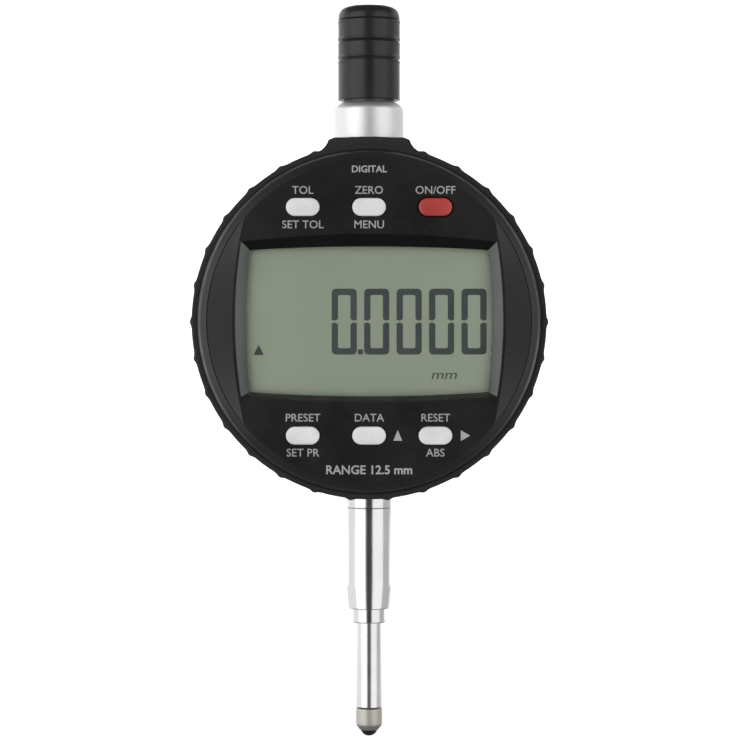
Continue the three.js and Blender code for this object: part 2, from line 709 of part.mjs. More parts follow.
function innerPieces() {
  const { halfLength, radius, x } = GUIDE;
  const guideRod = turned(rod(radius, GAP - halfLength, halfLength - GAP), SEGMENTS.small).translate(x, 0, 0);
  const readerHead = block(
    [-READER_HEAD.halfWidth, READER_HEAD.halfWidth],
    [SCALE.back + GAP, READER.front - FIT],
    [-READER_HEAD.halfHeight, READER_HEAD.halfHeight],
  );
  const terminal = block(
    [BATTERY.x - TERMINAL.halfWidth, BATTERY.x + TERMINAL.halfWidth],
    [TERMINAL.front, TERMINAL.back],
    [-TERMINAL.halfLength, TERMINAL.halfLength],
  );
  return [
    piece('guide_rod', guideRod, 'steel'),
    piece('return_spring', returnSpring(), 'steel'),
    piece('spring_anchor', springPin(SPRING.lower, HOUSING.front + OVERLAP + FIT), 'steel'),
    piece('reader_board', readerBoard(), 'board'),
    piece('reader_head', readerHead, 'blackPlastic'),
    piece('battery_tray', batteryTray(), 'blackPlastic'),
    piece('battery_contact', terminal, 'brass'),
    piece('battery_cell', batteryCell(), 'steel'),
    piece('battery_lid', batteryLid(), 'blackPlastic'),
    piece('data_port_socket', portSocket(), 'blackPlastic'),
    piece('data_port_cover', portCover(), 'rubber'),
  ];
}

// ---- swivel between the housing and the display head ----

function retainerScrew(x, z) {
  const { headRadius, headHeight, shankRadius, length } = HUB_SCREW;
  const seat = HUB.end - RETAINER.thickness - FIT;
  return faced([
    [0, seat - headHeight],
    [headRadius, seat - headHeight],
    [headRadius, seat],
    [shankRadius, seat],
    [shankRadius, seat + length],
    [0, seat + length],
  ], SEGMENTS.small, x, z);
}

function swivelPieces() {
  const { radius, thickness, washerInner, washerOuter } = RETAINER;
  const face = HUB.end - FIT / 2;
  const shellFloor = SHELL.back - SHELL.backWall;
  const washer = tube(washerInner, washerOuter, face + FIT / 4, shellFloor - FIT);
  const plate = faced(tube(HUB.bore, radius, face - thickness, face), SEGMENTS.middle);
  const holes = hubScrewPlaces().map(([x, z]) => faced(rod(HUB.screwHole, -FAR, 0), SEGMENTS.small, x, z));
  const stopPin = rod(STOP.pinRadius, STOP.front, HOUSING.front + HOUSING.frontWall - FIT);
  return [
    piece('swivel_retainer', cut(plate, ...holes), 'steel'),
    piece('swivel_friction_washer', faced(washer, SEGMENTS.middle), 'brass'),
    piece('swivel_stop_pin', faced(stopPin, SEGMENTS.small, 0, -STOP.circle), 'steel'),
    ...hubScrewPlaces().map(([x, z], i) => piece(`swivel_screw_${i + 1}`, retainerScrew(x, z), 'steel')),
  ];
}

// ---- display head, which swivels ----

/** Cup with a bevelled front rim, a ledge for the face plate and a groove for the stop pin. */
function displayShell() {
  const { radius, inner, back, backWall, rim, rimInner, hub } = SHELL;
  const floor = back - backWall;
  const bevel = radius - rimInner;
  const edge = 0.3;
  const faceWall = rimInner - GAP;
  const cup = faced([
    [hub, back],
    [radius - edge, back],
    [radius, back - edge],
    [radius, rim + bevel],
    [radius - bevel / 3, rim + bevel / 3],
    [rimInner, rim],
    [faceWall, rim],
    [faceWall, LEDGE.front],
    [LEDGE.inner, LEDGE.front],
    [LEDGE.inner, LEDGE.back],
    [inner, LEDGE.back + inner - LEDGE.inner],
    [inner, floor],
    [hub, floor],
    [hub, back],
  ]);
  const reach = STOP.pinRadius + GAP;
  const groove = slab([
    ...arc(0, 0, STOP.circle + reach, -90 - STOP.swing, -90 + STOP.swing, SEGMENTS.middle),
    ...arc(0, 0, STOP.circle - reach, -90 + STOP.swing, -90 - STOP.swing, SEGMENTS.middle),
  ], back + PAST, back - STOP.grooveDepth);
  return cut(cup, groove);
}

/** Ring of narrow ribs, four outline points to a rib: the crest, a shoulder, the valley, a shoulder. */
function gripRing() {
  const { inner, valley, shoulder, crest, back, front, ribs } = GRIP;
  const { height, shrink } = GRIP_EDGE;
  const heights = [crest, shoulder, valley, shoulder];
  const outline = [];
  for (let i = 0; i < ribs * heights.length; i += 1) {
    outline.push(arc(0, 0, heights[i % heights.length], (360 * i) / (ribs * heights.length), 0, 1)[0]);
  }
  const softened = outline.map(([x, z]) => [x * shrink, z * shrink]);
  const body = join(
    slab(outline, back, front + height),
    loft(outline, front + height, softened, front),
  );
  return cut(body, faced(rod(inner, front - PAST, back + PAST)));
}

/** Outline of the flat middle of the face: the disc, narrowed at each side to a shallow arc. */
function panelOutline(disc) {
  return disc.map(([x, z]) => {
    const ridge = FACE.ridge - FACE.ridgeRadius + Math.sqrt(FACE.ridgeRadius ** 2 - z ** 2);
    return [Math.sign(x) * Math.min(Math.abs(x), ridge), z];
  });
}

function facePlate() {
  const { radius, back, edge, front } = FACE;
  const disc = arc(0, 0, radius, 0, 360, SEGMENTS.large).slice(1);
  const plate = join(slab(disc, back, edge), loft(disc, edge, panelOutline(disc), front));
  const { floor, pocketFront, past } = RECESS;
  const slope = (floor - front + past) / (floor - front);
  const sight = pillow(SIGHT);
  const recess = loft(sight, floor, pillow(blendPillows(SIGHT, OPENING, slope)), front - past);
  const lensPocket = roundedRectangle(LENS.halfWidth + FIT, LENS.halfHeight + FIT, LENS.corner);
  const keyholes = BUTTONS.map((button) => slab(keyOutline(button, GAP), 0, front - PAST));
  return cut(
    plate,
    recess,
    slab(sight, 0, floor - FIT / 10),
    slab(lensPocket, 0, pocketFront),
    ...keyholes,
  );
}

/** A key's outline at its place on the face, moved outwards by the given amount. */
function keyOutline({ column, row }, amount = 0) {
  const { width, height, pitch } = BUTTON;
  return stadium(width + 2 * amount, height + 2 * amount, column * pitch, row * BUTTON.row);
}

function buttonCap(button) {
  const { proud, flange, crown } = BUTTON;
  const { flangeBack, flangeFront } = BUTTON_DEPTH;
  const top = FACE.front - proud;
  return join(
    slab(keyOutline(button, flange), flangeBack, flangeFront),
    slab(keyOutline(button), flangeFront, top + crown),
    loft(keyOutline(button), top + crown, keyOutline(button, -crown), top),
  );
}

function keypadMat(row) {
  const { halfWidth, halfHeight, corner } = MAT;
  const outline = roundedRectangle(halfWidth, halfHeight, corner).map(([x, z]) => [x, z + row * BUTTON.row]);
  return slab(outline, BUTTON_DEPTH.matBack, BUTTON_DEPTH.matFront);
}

function displayFrame() {
  const { halfWidth, halfHeight, front, back } = LCD;
  const { wall, corner, lipX, lipZ } = FRAME;
  const inner = 0.3;
  return cut(
    slab(roundedRectangle(halfWidth + wall, halfHeight + wall, corner), BOARD.front - FIT, front + FIT),
    slab(roundedRectangle(halfWidth + GAP, halfHeight + GAP, inner, 1), back + FIT, front - PAST),
    slab(roundedRectangle(halfWidth - lipX, halfHeight - lipZ, inner, 1), 0, back - OVERLAP),
  );
}

function connectorStrip(side) {
  const { halfWidth, offset, halfHeight } = CONNECTOR;
  const z = side * offset;
  const thick = [LCD.back + FIT, BOARD.front - FIT];
  return block([-halfWidth, halfWidth], thick, [z - halfHeight, z + halfHeight]);
}

function headPieces() {
  const lens = roundedRectangle(LENS.halfWidth, LENS.halfHeight, LENS.corner);
  const lcd = roundedRectangle(LCD.halfWidth, LCD.halfHeight, 0.2, 1);
  const boardDisc = faced(rod(BOARD.radius, BOARD.front, BOARD.back));
  const chipFront = BOARD.back + FIT / 2;
  const chipDepth = [chipFront, chipFront + CHIP.height];
  const chip = block([CHIP.left, CHIP.right], chipDepth, [-CHIP.halfHeight, CHIP.halfHeight]);
  return [
    piece('display_shell', displayShell(), 'blackPlastic'),
    piece('grip_ring', gripRing(), 'rubber'),
    piece('face_plate', facePlate(), 'blackPlastic'),
    piece('window_lens', slab(lens, LENS.back, LENS.front), 'clear'),
    piece('lcd_panel', slab(lcd, LCD.back, LCD.front), 'display'),
    piece('lcd_frame', displayFrame(), 'greyRubber'),
    piece('lcd_connector_upper', connectorStrip(1), 'greyRubber'),
    piece('lcd_connector_lower', connectorStrip(-1), 'greyRubber'),
    piece('keypad_mat_upper', keypadMat(1), 'greyRubber'),
    piece('keypad_mat_lower', keypadMat(-1), 'greyRubber'),
    piece('main_board', boardDisc, 'board'),
    piece('processor_chip', chip, 'blackPlastic'),
    ...BUTTONS.map((button) => piece(button.name, buttonCap(button), button.finish)),
  ];
}

// ---- the whole indicator ----

const indicator = new THREE.Group();
indicator.position.z = HEAD_ABOVE_CLAMP;
indicator.add(
  ...housingPieces(),
  ...stemPieces(),
  piece('spindle_cap', cap(), 'capPlastic'),
  ...spindlePieces(),
  ...innerPieces(),
  ...swivelPieces(),
  ...headPieces(),
);

export default indicator;
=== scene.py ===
"""Digital plunger indicator: the looks of each piece, the studio and the camera.

Laid out as an add-on and run as a script. Lengths inside the shape functions are millimetres
about the head's centre: x to the right, y to the back, z up. place() turns them into metres in
the frame.
"""

import json
import math

import bmesh
import bpy
import numpy as np
from bpy.props import FloatProperty, FloatVectorProperty, IntProperty, PointerProperty
from mathutils import Euler, Matrix, Vector
from mathutils.geometry import delaunay_2d_cdt


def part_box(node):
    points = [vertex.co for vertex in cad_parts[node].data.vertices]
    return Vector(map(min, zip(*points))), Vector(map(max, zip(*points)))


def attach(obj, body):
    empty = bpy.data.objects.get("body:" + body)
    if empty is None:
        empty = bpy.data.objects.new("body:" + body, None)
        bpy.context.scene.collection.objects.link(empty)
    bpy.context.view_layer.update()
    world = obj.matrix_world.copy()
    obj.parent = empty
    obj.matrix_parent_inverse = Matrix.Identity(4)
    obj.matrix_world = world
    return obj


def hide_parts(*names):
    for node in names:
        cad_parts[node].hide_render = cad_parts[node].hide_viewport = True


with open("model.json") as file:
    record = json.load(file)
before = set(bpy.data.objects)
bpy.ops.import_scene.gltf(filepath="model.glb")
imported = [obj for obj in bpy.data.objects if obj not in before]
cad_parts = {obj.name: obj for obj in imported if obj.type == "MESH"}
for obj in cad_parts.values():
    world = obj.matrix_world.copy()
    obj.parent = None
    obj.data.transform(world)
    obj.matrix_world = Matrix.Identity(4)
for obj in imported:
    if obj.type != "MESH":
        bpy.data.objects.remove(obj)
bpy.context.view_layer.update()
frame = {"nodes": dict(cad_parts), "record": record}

bl_info = {
    "name": "Digital Indicator",
    "version": (1, 0, 0),
    "blender": (4, 5, 0),
    "location": "View3D > Sidebar > Indicator",
    "description": "Builds the visible pieces of a digital plunger indicator",
    "category": "Object",
}

MM = 0.001
HEAD = sum(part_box("display_shell"), Vector()) / 2
ORIGIN = np.array((HEAD.x, 0.0, HEAD.z))
ROUND = 128
RIM_STEPS = 192


def span(node):
    """Lowest and highest corner of a frame node, in millimetres about the head's centre."""
    return [(np.array(corner) - ORIGIN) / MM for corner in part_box(node)]


# ---------------------------------------------------------------- outlines and profiles


def rounded(points, radii, steps=6, closed=False):
    """A profile whose corners are rounded.

    Each corner P becomes a quadratic curve from P - t*a to P + t*b, where a and b are the unit
    directions in and out, and t is its radius, held to under half of the shorter side.
    """
    points = [np.array(p, float) for p in points]
    count = len(points)
    if not hasattr(radii, "__len__"):
        radii = [radii] * count
    out = []
    for i, (point, radius) in enumerate(zip(points, radii)):
        if radius == 0 or (not closed and i in (0, count - 1)):
            out.append(point[None])
            continue
        before, after = points[i - 1] - point, points[(i + 1) % count] - point
        lengths = np.linalg.norm(before), np.linalg.norm(after)
        reach = min(radius, 0.49 * lengths[0], 0.49 * lengths[1])
        start = point + before / lengths[0] * reach
        end = point + after / lengths[1] * reach
        s = np.linspace(0, 1, steps + 1)[:, None]
        out.append((1 - s) ** 2 * start + 2 * s * (1 - s) * point + s**2 * end)
    return np.concatenate(out)


def stadium(width, height, centre=(0, 0), count=48):
    """A rectangle with half-round ends: half circles of radius height/2 about two points."""
    half = count // 2
    right = np.linspace(-np.pi / 2, np.pi / 2, half)
    angle = np.concatenate([right, right + np.pi])
    shift = np.where(np.arange(count) < half, 1, -1) * (width - height) / 2
    x = centre[0] + shift + height / 2 * np.cos(angle)
    z = centre[1] + height / 2 * np.sin(angle)
    return np.stack([x, z], 1)


def pillow(half_width, top, bottom, bulge_x, bulge_top, bulge_bottom, count=96):
    """A rectangle whose four sides swell outwards by bulge * (1 - s^2), s running -1 to 1."""
    n = count // 4
    s = np.linspace(-1, 1, n, endpoint=False)
    swell = 1 - s**2
    corner_x = half_width - bulge_x
    corner_top, corner_bottom = top - bulge_top, bottom + bulge_bottom
    middle, reach = (corner_top + corner_bottom) / 2, (corner_top - corner_bottom) / 2
    right = np.stack([corner_x + bulge_x * swell, middle + s * reach], 1)
    upper = np.stack([-s * corner_x, corner_top + bulge_top * swell], 1)
    left = np.stack([-corner_x - bulge_x * swell, middle - s * reach], 1)
    lower = np.stack([s * corner_x, corner_bottom - bulge_bottom * swell], 1)
    return np.concatenate([right, upper, left, lower])


def circle(radius, count=ROUND):
    angle = np.linspace(0, 2 * np.pi, count, endpoint=False)
    return radius * np.stack([np.cos(angle), np.sin(angle)], 1)


def grown(outline, amount):
    """The outline moved outwards: each point goes along the mean normal of its two sides."""
    ahead = np.roll(outline, -1, 0) - np.roll(outline, 1, 0)
    normal = np.stack([ahead[:, 1], -ahead[:, 0]], 1)
    return outline + amount * normal / np.linalg.norm(normal, axis=1)[:, None]


def inside(points, outline):
    """True for the points inside a closed outline, by counting the sides that a ray crosses."""
    x, z = points[:, :1], points[:, 1:]
    ax, az = outline[:, 0][None], outline[:, 1][None]
    bx, bz = np.roll(ax, -1, 1), np.roll(az, -1, 1)
    spans = (az > z) != (bz > z)
    crossing = ax + (z - az) * (bx - ax) / np.where(bz == az, 1e-9, bz - az)
    return (spans & (x < crossing)).sum(1) % 2 == 1


# ---------------------------------------------------------------- surfaces


def place(points):
    """Millimetres about the head's centre to metres in the frame."""
    return np.asarray(points, float) * MM + ORIGIN


def grid_faces(rows, columns, start=0, wrap_rows=False):
    """Quads of a grid of points whose columns close on themselves."""
    last = rows if wrap_rows else rows - 1
    i, j = np.meshgrid(np.arange(last), np.arange(columns), indexing="ij")
    k, m = (i + 1) % rows, (j + 1) % columns
    quads = np.stack([i * columns + j, i * columns + m, k * columns + m, k * columns + j], -1)
    return (start + quads.reshape(-1, 4)).tolist()


def linked(name, data):
    """A new object in the scene that holds the data."""
    obj = bpy.data.objects.new(name, data)
    bpy.context.scene.collection.objects.link(obj)
    return obj


def shaded(obj, sharp, bevel=0.0):
    """Smooth faces, hard edges over an angle in degrees, and a bevel in mm where one is given."""
    obj.data.shade_smooth()
    obj.data.set_sharp_from_angle(angle=math.radians(sharp))
    if bevel:
        soften = obj.modifiers.new("soft_edges", "BEVEL")
        soften.width = bevel * MM
        soften.segments = 3
        soften.limit_method = "ANGLE"
        soften.angle_limit = math.radians(sharp)
    even = obj.modifiers.new("even_normals", "WEIGHTED_NORMAL")
    even.keep_sharp = True
    return obj


def finish_mesh(obj, sharp=32):
    """Merges doubled points, turns the faces outwards and marks the hard edges."""
    shell = bmesh.new()
    shell.from_mesh(obj.data)
    bmesh.ops.remove_doubles(shell, verts=shell.verts, dist=1e-7)
    bmesh.ops.dissolve_degenerate(shell, edges=shell.edges, dist=1e-8)
    bmesh.ops.recalc_face_normals(shell, faces=shell.faces)
    shell.to_mesh(obj.data)
    shell.free()
    return shaded(obj, sharp)


def new_object(name, points, faces, sharp=32):
    """An object at the origin whose mesh holds points given in millimetres."""
    mesh = bpy.data.meshes.new(name)
    mesh.from_pydata(place(points).tolist(), [], faces)
    return finish_mesh(linked(name, mesh), sharp)


def swept_rings(profile, axis, centre=(0, 0), count=ROUND, stretch=0.0):
    """Grid of points of a profile carried round an axis.

    Point (i, j) is the centre plus r_i * (cos t_j, sin t_j) across the axis and h_i along it.
    With a stretch, each half of the turn moves out by it along x, which makes a stadium.
    """
    profile = np.asarray(profile, float)
    if stretch:
        half = np.linspace(-np.pi / 2, np.pi / 2, count // 2)
        angle = np.concatenate([half, half + np.pi])
        shift = np.where(np.arange(len(angle)) < count // 2, stretch, -stretch)
    else:
        angle = np.linspace(0, 2 * np.pi, count, endpoint=False)
        shift = np.zeros(count)
    radius, height = profile[:, :1], profile[:, 1:]
    across = centre[0] + shift + radius * np.cos(angle)
    other = centre[1] + radius * np.sin(angle)
    along = height + 0 * across
    order = (across, other, along) if axis == "z" else (across, along, other)
    return np.stack(order, -1)


def turned(
    name, profile, axis="z", centre=(0, 0), count=ROUND, stretch=0.0, closed=False, sharp=32
):
    """A turned piece. A closed profile makes a ring; an open one starts and ends on the axis."""
    rings = swept_rings(profile, axis, centre, count, stretch)
    rows, columns = rings.shape[:2]
    faces = grid_faces(rows, columns, wrap_rows=closed)
    return new_object(name, rings.reshape(-1, 3), faces, sharp)


def prism(outline, back, front):
    """Points and faces of an outline of [x, z] points carried from y = back to y = front."""
    n = len(outline)
    deep = [np.insert(outline, 1, y, axis=1) for y in (back, front)]
    faces = grid_faces(2, n) + [list(range(n)), list(range(n, 2 * n))[::-1]]
    return np.concatenate(deep), faces


def prisms(name, outlines, back, front, sharp=32):
    """One object of several separate flat shapes."""
    points, faces, start = [], [], 0
    for outline in outlines:
        some, few = prism(np.asarray(outline, float), back, front)
        points.append(some)
        faces += [[start + i for i in face] for face in few]
        start += len(some)
    return new_object(name, np.concatenate(points), faces, sharp)


def filled(outer, holes, ridges=()):
    """Triangles between an outer outline and its holes, with ridge lines kept as edges.

    Returns the 2-D points and the triangles. The triangulation covers the whole outline, and
    those whose middle is in a hole are left out.
    """
    points, edges, start = [], [], 0
    for loop in [outer, *holes]:
        n = len(loop)
        points.append(loop)
        edges += [(start + i, start + (i + 1) % n) for i in range(n)]
        start += n
    for line in ridges:
        points.append(line)
        edges += [(start + i, start + i + 1) for i in range(len(line) - 1)]
        start += len(line)
    flat = [Vector(p) for p in np.concatenate(points)]
    found, _, triangles, *_ = delaunay_2d_cdt(flat, edges, [], 0, 1e-6)
    found = np.array([tuple(v) for v in found])
    triangles = np.array([list(t) for t in triangles])
    middle = found[triangles].mean(1)
    keep = inside(middle, outer)
    for hole in holes:
        keep &= ~inside(middle, hole)
    return found, triangles[keep]


def cad_copy(name, node, bevel=0.12, sharp=35):
    """A merged copy of a frame node's mesh with softened edges."""
    mesh = frame["nodes"][node].data.copy()
    mesh.name = name
    mesh.materials.clear()
    shell = bmesh.new()
    shell.from_mesh(mesh)
    bmesh.ops.remove_doubles(shell, verts=shell.verts, dist=2e-6)
    bmesh.ops.dissolve_limit(
        shell, angle_limit=math.radians(1), verts=shell.verts, edges=shell.edges
    )
    shell.to_mesh(mesh)
    shell.free()
    return shaded(linked(name, mesh), sharp, bevel)


def fit(obj, body, slot, *nodes, finish=None):
    """Parents a piece to its body's empty and hides the frame nodes that it stands for.

    Its material is the slot's own, or the finish that is named.
    """
    obj.data.materials.clear()
    obj.data.materials.append(finish_of(finish or slot))
    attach(obj, body)
    if nodes:
        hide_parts(*nodes)
    return obj


# ---------------------------------------------------------------- shader groups


def new_group(name, inputs, outputs):
    """An empty shader group: inputs maps a name to its default, outputs maps a name to a type."""
    group = bpy.data.node_groups.new(name, "ShaderNodeTree")
    for label, value in inputs.items():
        socket = group.interface.new_socket(label, in_out="INPUT", socket_type="NodeSocketFloat")
        socket.default_value = value
    for label, kind in outputs.items():
        group.interface.new_socket(label, in_out="OUTPUT", socket_type=kind)
    enter = group.nodes.new("NodeGroupInput")
    leave = group.nodes.new("NodeGroupOutput")
    return group, enter, leave


def object_space(tree):
    return tree.nodes.new("ShaderNodeTexCoord").outputs["Object"]


def math_node(tree, operation, first, second=None, third=None, clamp=False):
    node = tree.nodes.new("ShaderNodeMath")
    node.operation = operation
    node.use_clamp = clamp
    for i, value in enumerate((first, second, third)):
        if value is None:
            continue
        if isinstance(value, (int, float)):
            node.inputs[i].default_value = value
        else:
            tree.links.new(value, node.inputs[i])
    return node.outputs[0]


def noise(tree, vector, scale, detail=2.0, roughness=0.5):
    node = tree.nodes.new("ShaderNodeTexNoise")
    node.inputs["Detail"].default_value = detail
    node.inputs["Roughness"].default_value = roughness
    tree.links.new(vector, node.inputs["Vector"])
    if isinstance(scale, (int, float)):
        node.inputs["Scale"].default_value = scale
    else:
        tree.links.new(scale, node.inputs["Scale"])
    return node.outputs["Fac"]


def grain_group():
    """Fine moulded or sprayed grain: two sizes of noise added as a height, and soft blotches."""
    group, enter, leave = new_group(
        "surface_grain",
        {"Size": 9000.0, "Blotch": 120.0},
        {"Height": "NodeSocketFloat", "Blotches": "NodeSocketFloat"},
    )
    where = object_space(group)
    fine = noise(group, where, enter.outputs["Size"], 3.0, 0.6)
    coarse = noise(group, where, math_node(group, "MULTIPLY", enter.outputs["Size"], 0.27))
    height = math_node(group, "MULTIPLY_ADD", coarse, 0.5, math_node(group, "MULTIPLY", fine, 0.5))
    blotches = noise(group, where, enter.outputs["Blotch"], 4.0, 0.55)
    group.links.new(height, leave.inputs["Height"])
    group.links.new(blotches, leave.inputs["Blotches"])
    return group


def wear_group():
    """Rubbed edges: where a bevelled normal leaves the true one, broken up by noise."""
    group, enter, leave = new_group(
        "rubbed_edges", {"Width": 0.00025, "Amount": 1.0}, {"Mask": "NodeSocketFloat"}
    )
    bevel = group.nodes.new("ShaderNodeBevel")
    bevel.samples = 4
    group.links.new(enter.outputs["Width"], bevel.inputs["Radius"])
    true_normal = group.nodes.new("ShaderNodeNewGeometry").outputs["Normal"]
    dot = group.nodes.new("ShaderNodeVectorMath")
    dot.operation = "DOT_PRODUCT"
    group.links.new(bevel.outputs["Normal"], dot.inputs[0])
    group.links.new(true_normal, dot.inputs[1])
    turn = math_node(group, "SUBTRACT", 1.0, dot.outputs["Value"])
    where = object_space(group)
    broken = noise(group, where, 700.0, 4.0, 0.6)
    edge = math_node(group, "MULTIPLY", math_node(group, "MULTIPLY", turn, 6.0), broken)
    mask = math_node(group, "MULTIPLY", edge, enter.outputs["Amount"], clamp=True)
    group.links.new(mask, leave.inputs["Mask"])
    return group


def lathe_group():
    """Turning marks: noise that changes only along the turning axis, given as x, y, z scales."""
    group, enter, leave = new_group(
        "turning_marks",
        {"Along X": 0.0, "Along Y": 0.0, "Along Z": 1.0, "Size": 5000.0},
        {"Height": "NodeSocketFloat"},
    )
    where = object_space(group)
    weights = group.nodes.new("ShaderNodeCombineXYZ")
    for axis in "XYZ":
        group.links.new(enter.outputs[f"Along {axis}"], weights.inputs[axis])
    squeezed = group.nodes.new("ShaderNodeVectorMath")
    squeezed.operation = "MULTIPLY"
    group.links.new(where, squeezed.inputs[0])
    group.links.new(weights.outputs[0], squeezed.inputs[1])
    marks = noise(group, squeezed.outputs["Vector"], enter.outputs["Size"], 3.0, 0.65)
    group.links.new(marks, leave.inputs["Height"])
    return group


GROUP_MAKERS = {
    "surface_grain": grain_group,
    "rubbed_edges": wear_group,
    "turning_marks": lathe_group,
}
GROUPS = {}


def group_node(tree, name, **values):
    """Places a shared group, built the first time it is asked for."""
    if name not in GROUPS:
        GROUPS[name] = GROUP_MAKERS[name]()
    node = tree.nodes.new("ShaderNodeGroup")
    node.node_tree = GROUPS[name]
    for label, value in values.items():
        node.inputs[label.replace("_", " ")].default_value = value
    return node


# ---------------------------------------------------------------- materials


def blank(name, roughness=0.5, metallic=0.0):
    material = bpy.data.materials.new(name)
    material.use_nodes = True
    tree = material.node_tree
    shader = tree.nodes["Principled BSDF"]
    shader.inputs["Roughness"].default_value = roughness
    shader.inputs["Metallic"].default_value = metallic
    return material, tree, shader


def mixed_colour(tree, mask, first, second):
    mix = tree.nodes.new("ShaderNodeMix")
    mix.data_type = "RGBA"
    tree.links.new(mask, mix.inputs["Factor"])
    for side, colour in (("A", first), ("B", second)):
        if isinstance(colour, bpy.types.NodeSocket):
            tree.links.new(colour, mix.inputs[side])
        else:
            mix.inputs[side].default_value = (*colour[:3], 1)
    return mix.outputs["Result"]


def ranged(tree, value, low, high):
    """A noise value, which mostly lies between 0.3 and 0.7, spread between low and high."""
    node = tree.nodes.new("ShaderNodeMapRange")
    node.inputs["From Min"].default_value = 0.3
    node.inputs["From Max"].default_value = 0.7
    node.inputs["To Min"].default_value = low
    node.inputs["To Max"].default_value = high
    tree.links.new(value, node.inputs["Value"])
    return node.outputs["Result"]


def blotchy(tree, shader, texture, roughness=None, colours=None):
    """Lets the blotches of a grain node vary the roughness and the colour of a shader."""
    blotches = texture.outputs["Blotches"]
    if roughness:
        tree.links.new(ranged(tree, blotches, *roughness), shader.inputs["Roughness"])
    if colours:
        shade = mixed_colour(tree, ranged(tree, blotches, 0, 1), *colours)
        tree.links.new(shade, shader.inputs["Base Color"])


def bump(tree, shader, height, strength, distance):
    node = tree.nodes.new("ShaderNodeBump")
    node.inputs["Strength"].default_value = strength
    node.inputs["Distance"].default_value = distance
    tree.links.new(height, node.inputs["Height"])
    tree.links.new(node.outputs["Normal"], shader.inputs["Normal"])


def moulded(name, colour, roughness, grain=9000.0, depth=0.4, wear=0.5, worn=None, specular=0.5):
    """Plastic, rubber or paint: grain as bump, blotchy roughness and colour, paler rubbed edges."""
    material, tree, shader = blank(name)
    texture = group_node(tree, "surface_grain", Size=grain, Blotch=140.0)
    edges = group_node(tree, "rubbed_edges", Width=0.00022, Amount=wear)
    colour = np.array(colour[:3])
    worn = np.array(worn) if worn is not None else colour * 1.6 + 0.012
    tint = ranged(tree, texture.outputs["Blotches"], 0, 1)
    base = mixed_colour(tree, tint, colour * 0.86, colour * 1.14)
    rubbed = mixed_colour(tree, edges.outputs["Mask"], base, worn)
    tree.links.new(rubbed, shader.inputs["Base Color"])
    blotchy(tree, shader, texture, roughness=(roughness - 0.05, roughness + 0.05))
    shader.inputs["Specular IOR Level"].default_value = specular
    bump(tree, shader, texture.outputs["Height"], depth, 0.00002)
    return material


def metal(name, colour, roughness, along="Z", marks=6000.0, depth=0.15, spread=0.03):
    """Turned or ground metal: fine rings along its axis, and roughness that drifts a little."""
    material, tree, shader = blank(name, roughness, 1.0)
    weights = {f"Along_{axis}": 1.0 if axis in along else 0.0 for axis in "XYZ"}
    rings = group_node(tree, "turning_marks", Size=marks, **weights)
    texture = group_node(tree, "surface_grain", Size=3000.0, Blotch=220.0)
    colour = np.array(colour[:3])
    drift, shades = (roughness - spread, roughness + spread), (colour * 0.95, colour * 1.03)
    blotchy(tree, shader, texture, drift, shades)
    bump(tree, shader, rings.outputs["Height"], depth, 0.000004)
    return material


def clear_pane(name):
    """A clear window: glass to the eye, open to the lamps, so that what is under it stays lit."""
    material, tree, shader = blank(name, 0.03)
    shader.inputs["Transmission Weight"].default_value = 1.0
    shader.inputs["IOR"].default_value = 1.45
    texture = group_node(tree, "surface_grain", Size=300.0, Blotch=90.0)
    blotchy(tree, shader, texture, (0.01, 0.04), ((0.97, 0.985, 0.97), (1.0, 1.0, 1.0)))
    clear = tree.nodes.new("ShaderNodeBsdfTransparent")
    path = tree.nodes.new("ShaderNodeLightPath")
    mix = tree.nodes.new("ShaderNodeMixShader")
    output = tree.nodes["Material Output"]
    tree.links.new(path.outputs["Is Shadow Ray"], mix.inputs["Fac"])
    tree.links.new(shader.outputs["BSDF"], mix.inputs[1])
    tree.links.new(clear.outputs["BSDF"], mix.inputs[2])
    tree.links.new(mix.outputs["Shader"], output.inputs["Surface"])
    return material


def crystal(name, colour):
    """The display: a grey-green sheet with painted sidelight, paler to the sides, and a very fine
    pearly grain.
    """
    material, tree, shader = blank(name, 0.45)
    per_half_width, grain_share, sidelight_falloff = 48.0, 0.25, 3.0
    apart = tree.nodes.new("ShaderNodeSeparateXYZ")
    tree.links.new(object_space(tree), apart.inputs[0])
    across = math_node(tree, "MULTIPLY", apart.outputs["X"], per_half_width)
    side = math_node(tree, "ABSOLUTE", across, clamp=True)
    texture = group_node(tree, "surface_grain", Size=12000.0, Blotch=60.0)
    # Painted sidelight: the colour grows paler towards both sides of the sheet, as a power of the
    # distance from its middle.
    edges = math_node(tree, "POWER", side, sidelight_falloff)
    grain = math_node(tree, "MULTIPLY_ADD", texture.outputs["Height"], grain_share, edges)
    colour = np.array(colour[:3])
    shade = mixed_colour(tree, grain, colour * 0.97, colour * 1.12)
    tree.links.new(shade, shader.inputs["Base Color"])
    blotchy(tree, shader, texture, roughness=(0.4, 0.5))
    bump(tree, shader, texture.outputs["Height"], 0.1, 0.00001)
    return material


def circuit(name, colour):
    """Lacquered board: tracks from a stretched brick pattern under the lacquer."""
    material, tree, shader = blank(name, 0.35)
    turn = tree.nodes.new("ShaderNodeMapping")
    turn.inputs["Rotation"].default_value = (math.pi / 2, 0, 0)
    tree.links.new(object_space(tree), turn.inputs["Vector"])
    tracks = tree.nodes.new("ShaderNodeTexBrick")
    tracks.inputs["Scale"].default_value = 420.0
    tracks.inputs["Mortar Size"].default_value = 0.06
    tree.links.new(turn.outputs["Vector"], tracks.inputs["Vector"])
    colour = np.array(colour)
    shade = mixed_colour(tree, tracks.outputs["Fac"], colour, colour * 1.8 + 0.01)
    tree.links.new(shade, shader.inputs["Base Color"])
    texture = group_node(tree, "surface_grain", Size=2500.0, Blotch=200.0)
    blotchy(tree, shader, texture, roughness=(0.28, 0.42))
    bump(tree, shader, tracks.outputs["Fac"], 0.3, 0.00003)
    return material


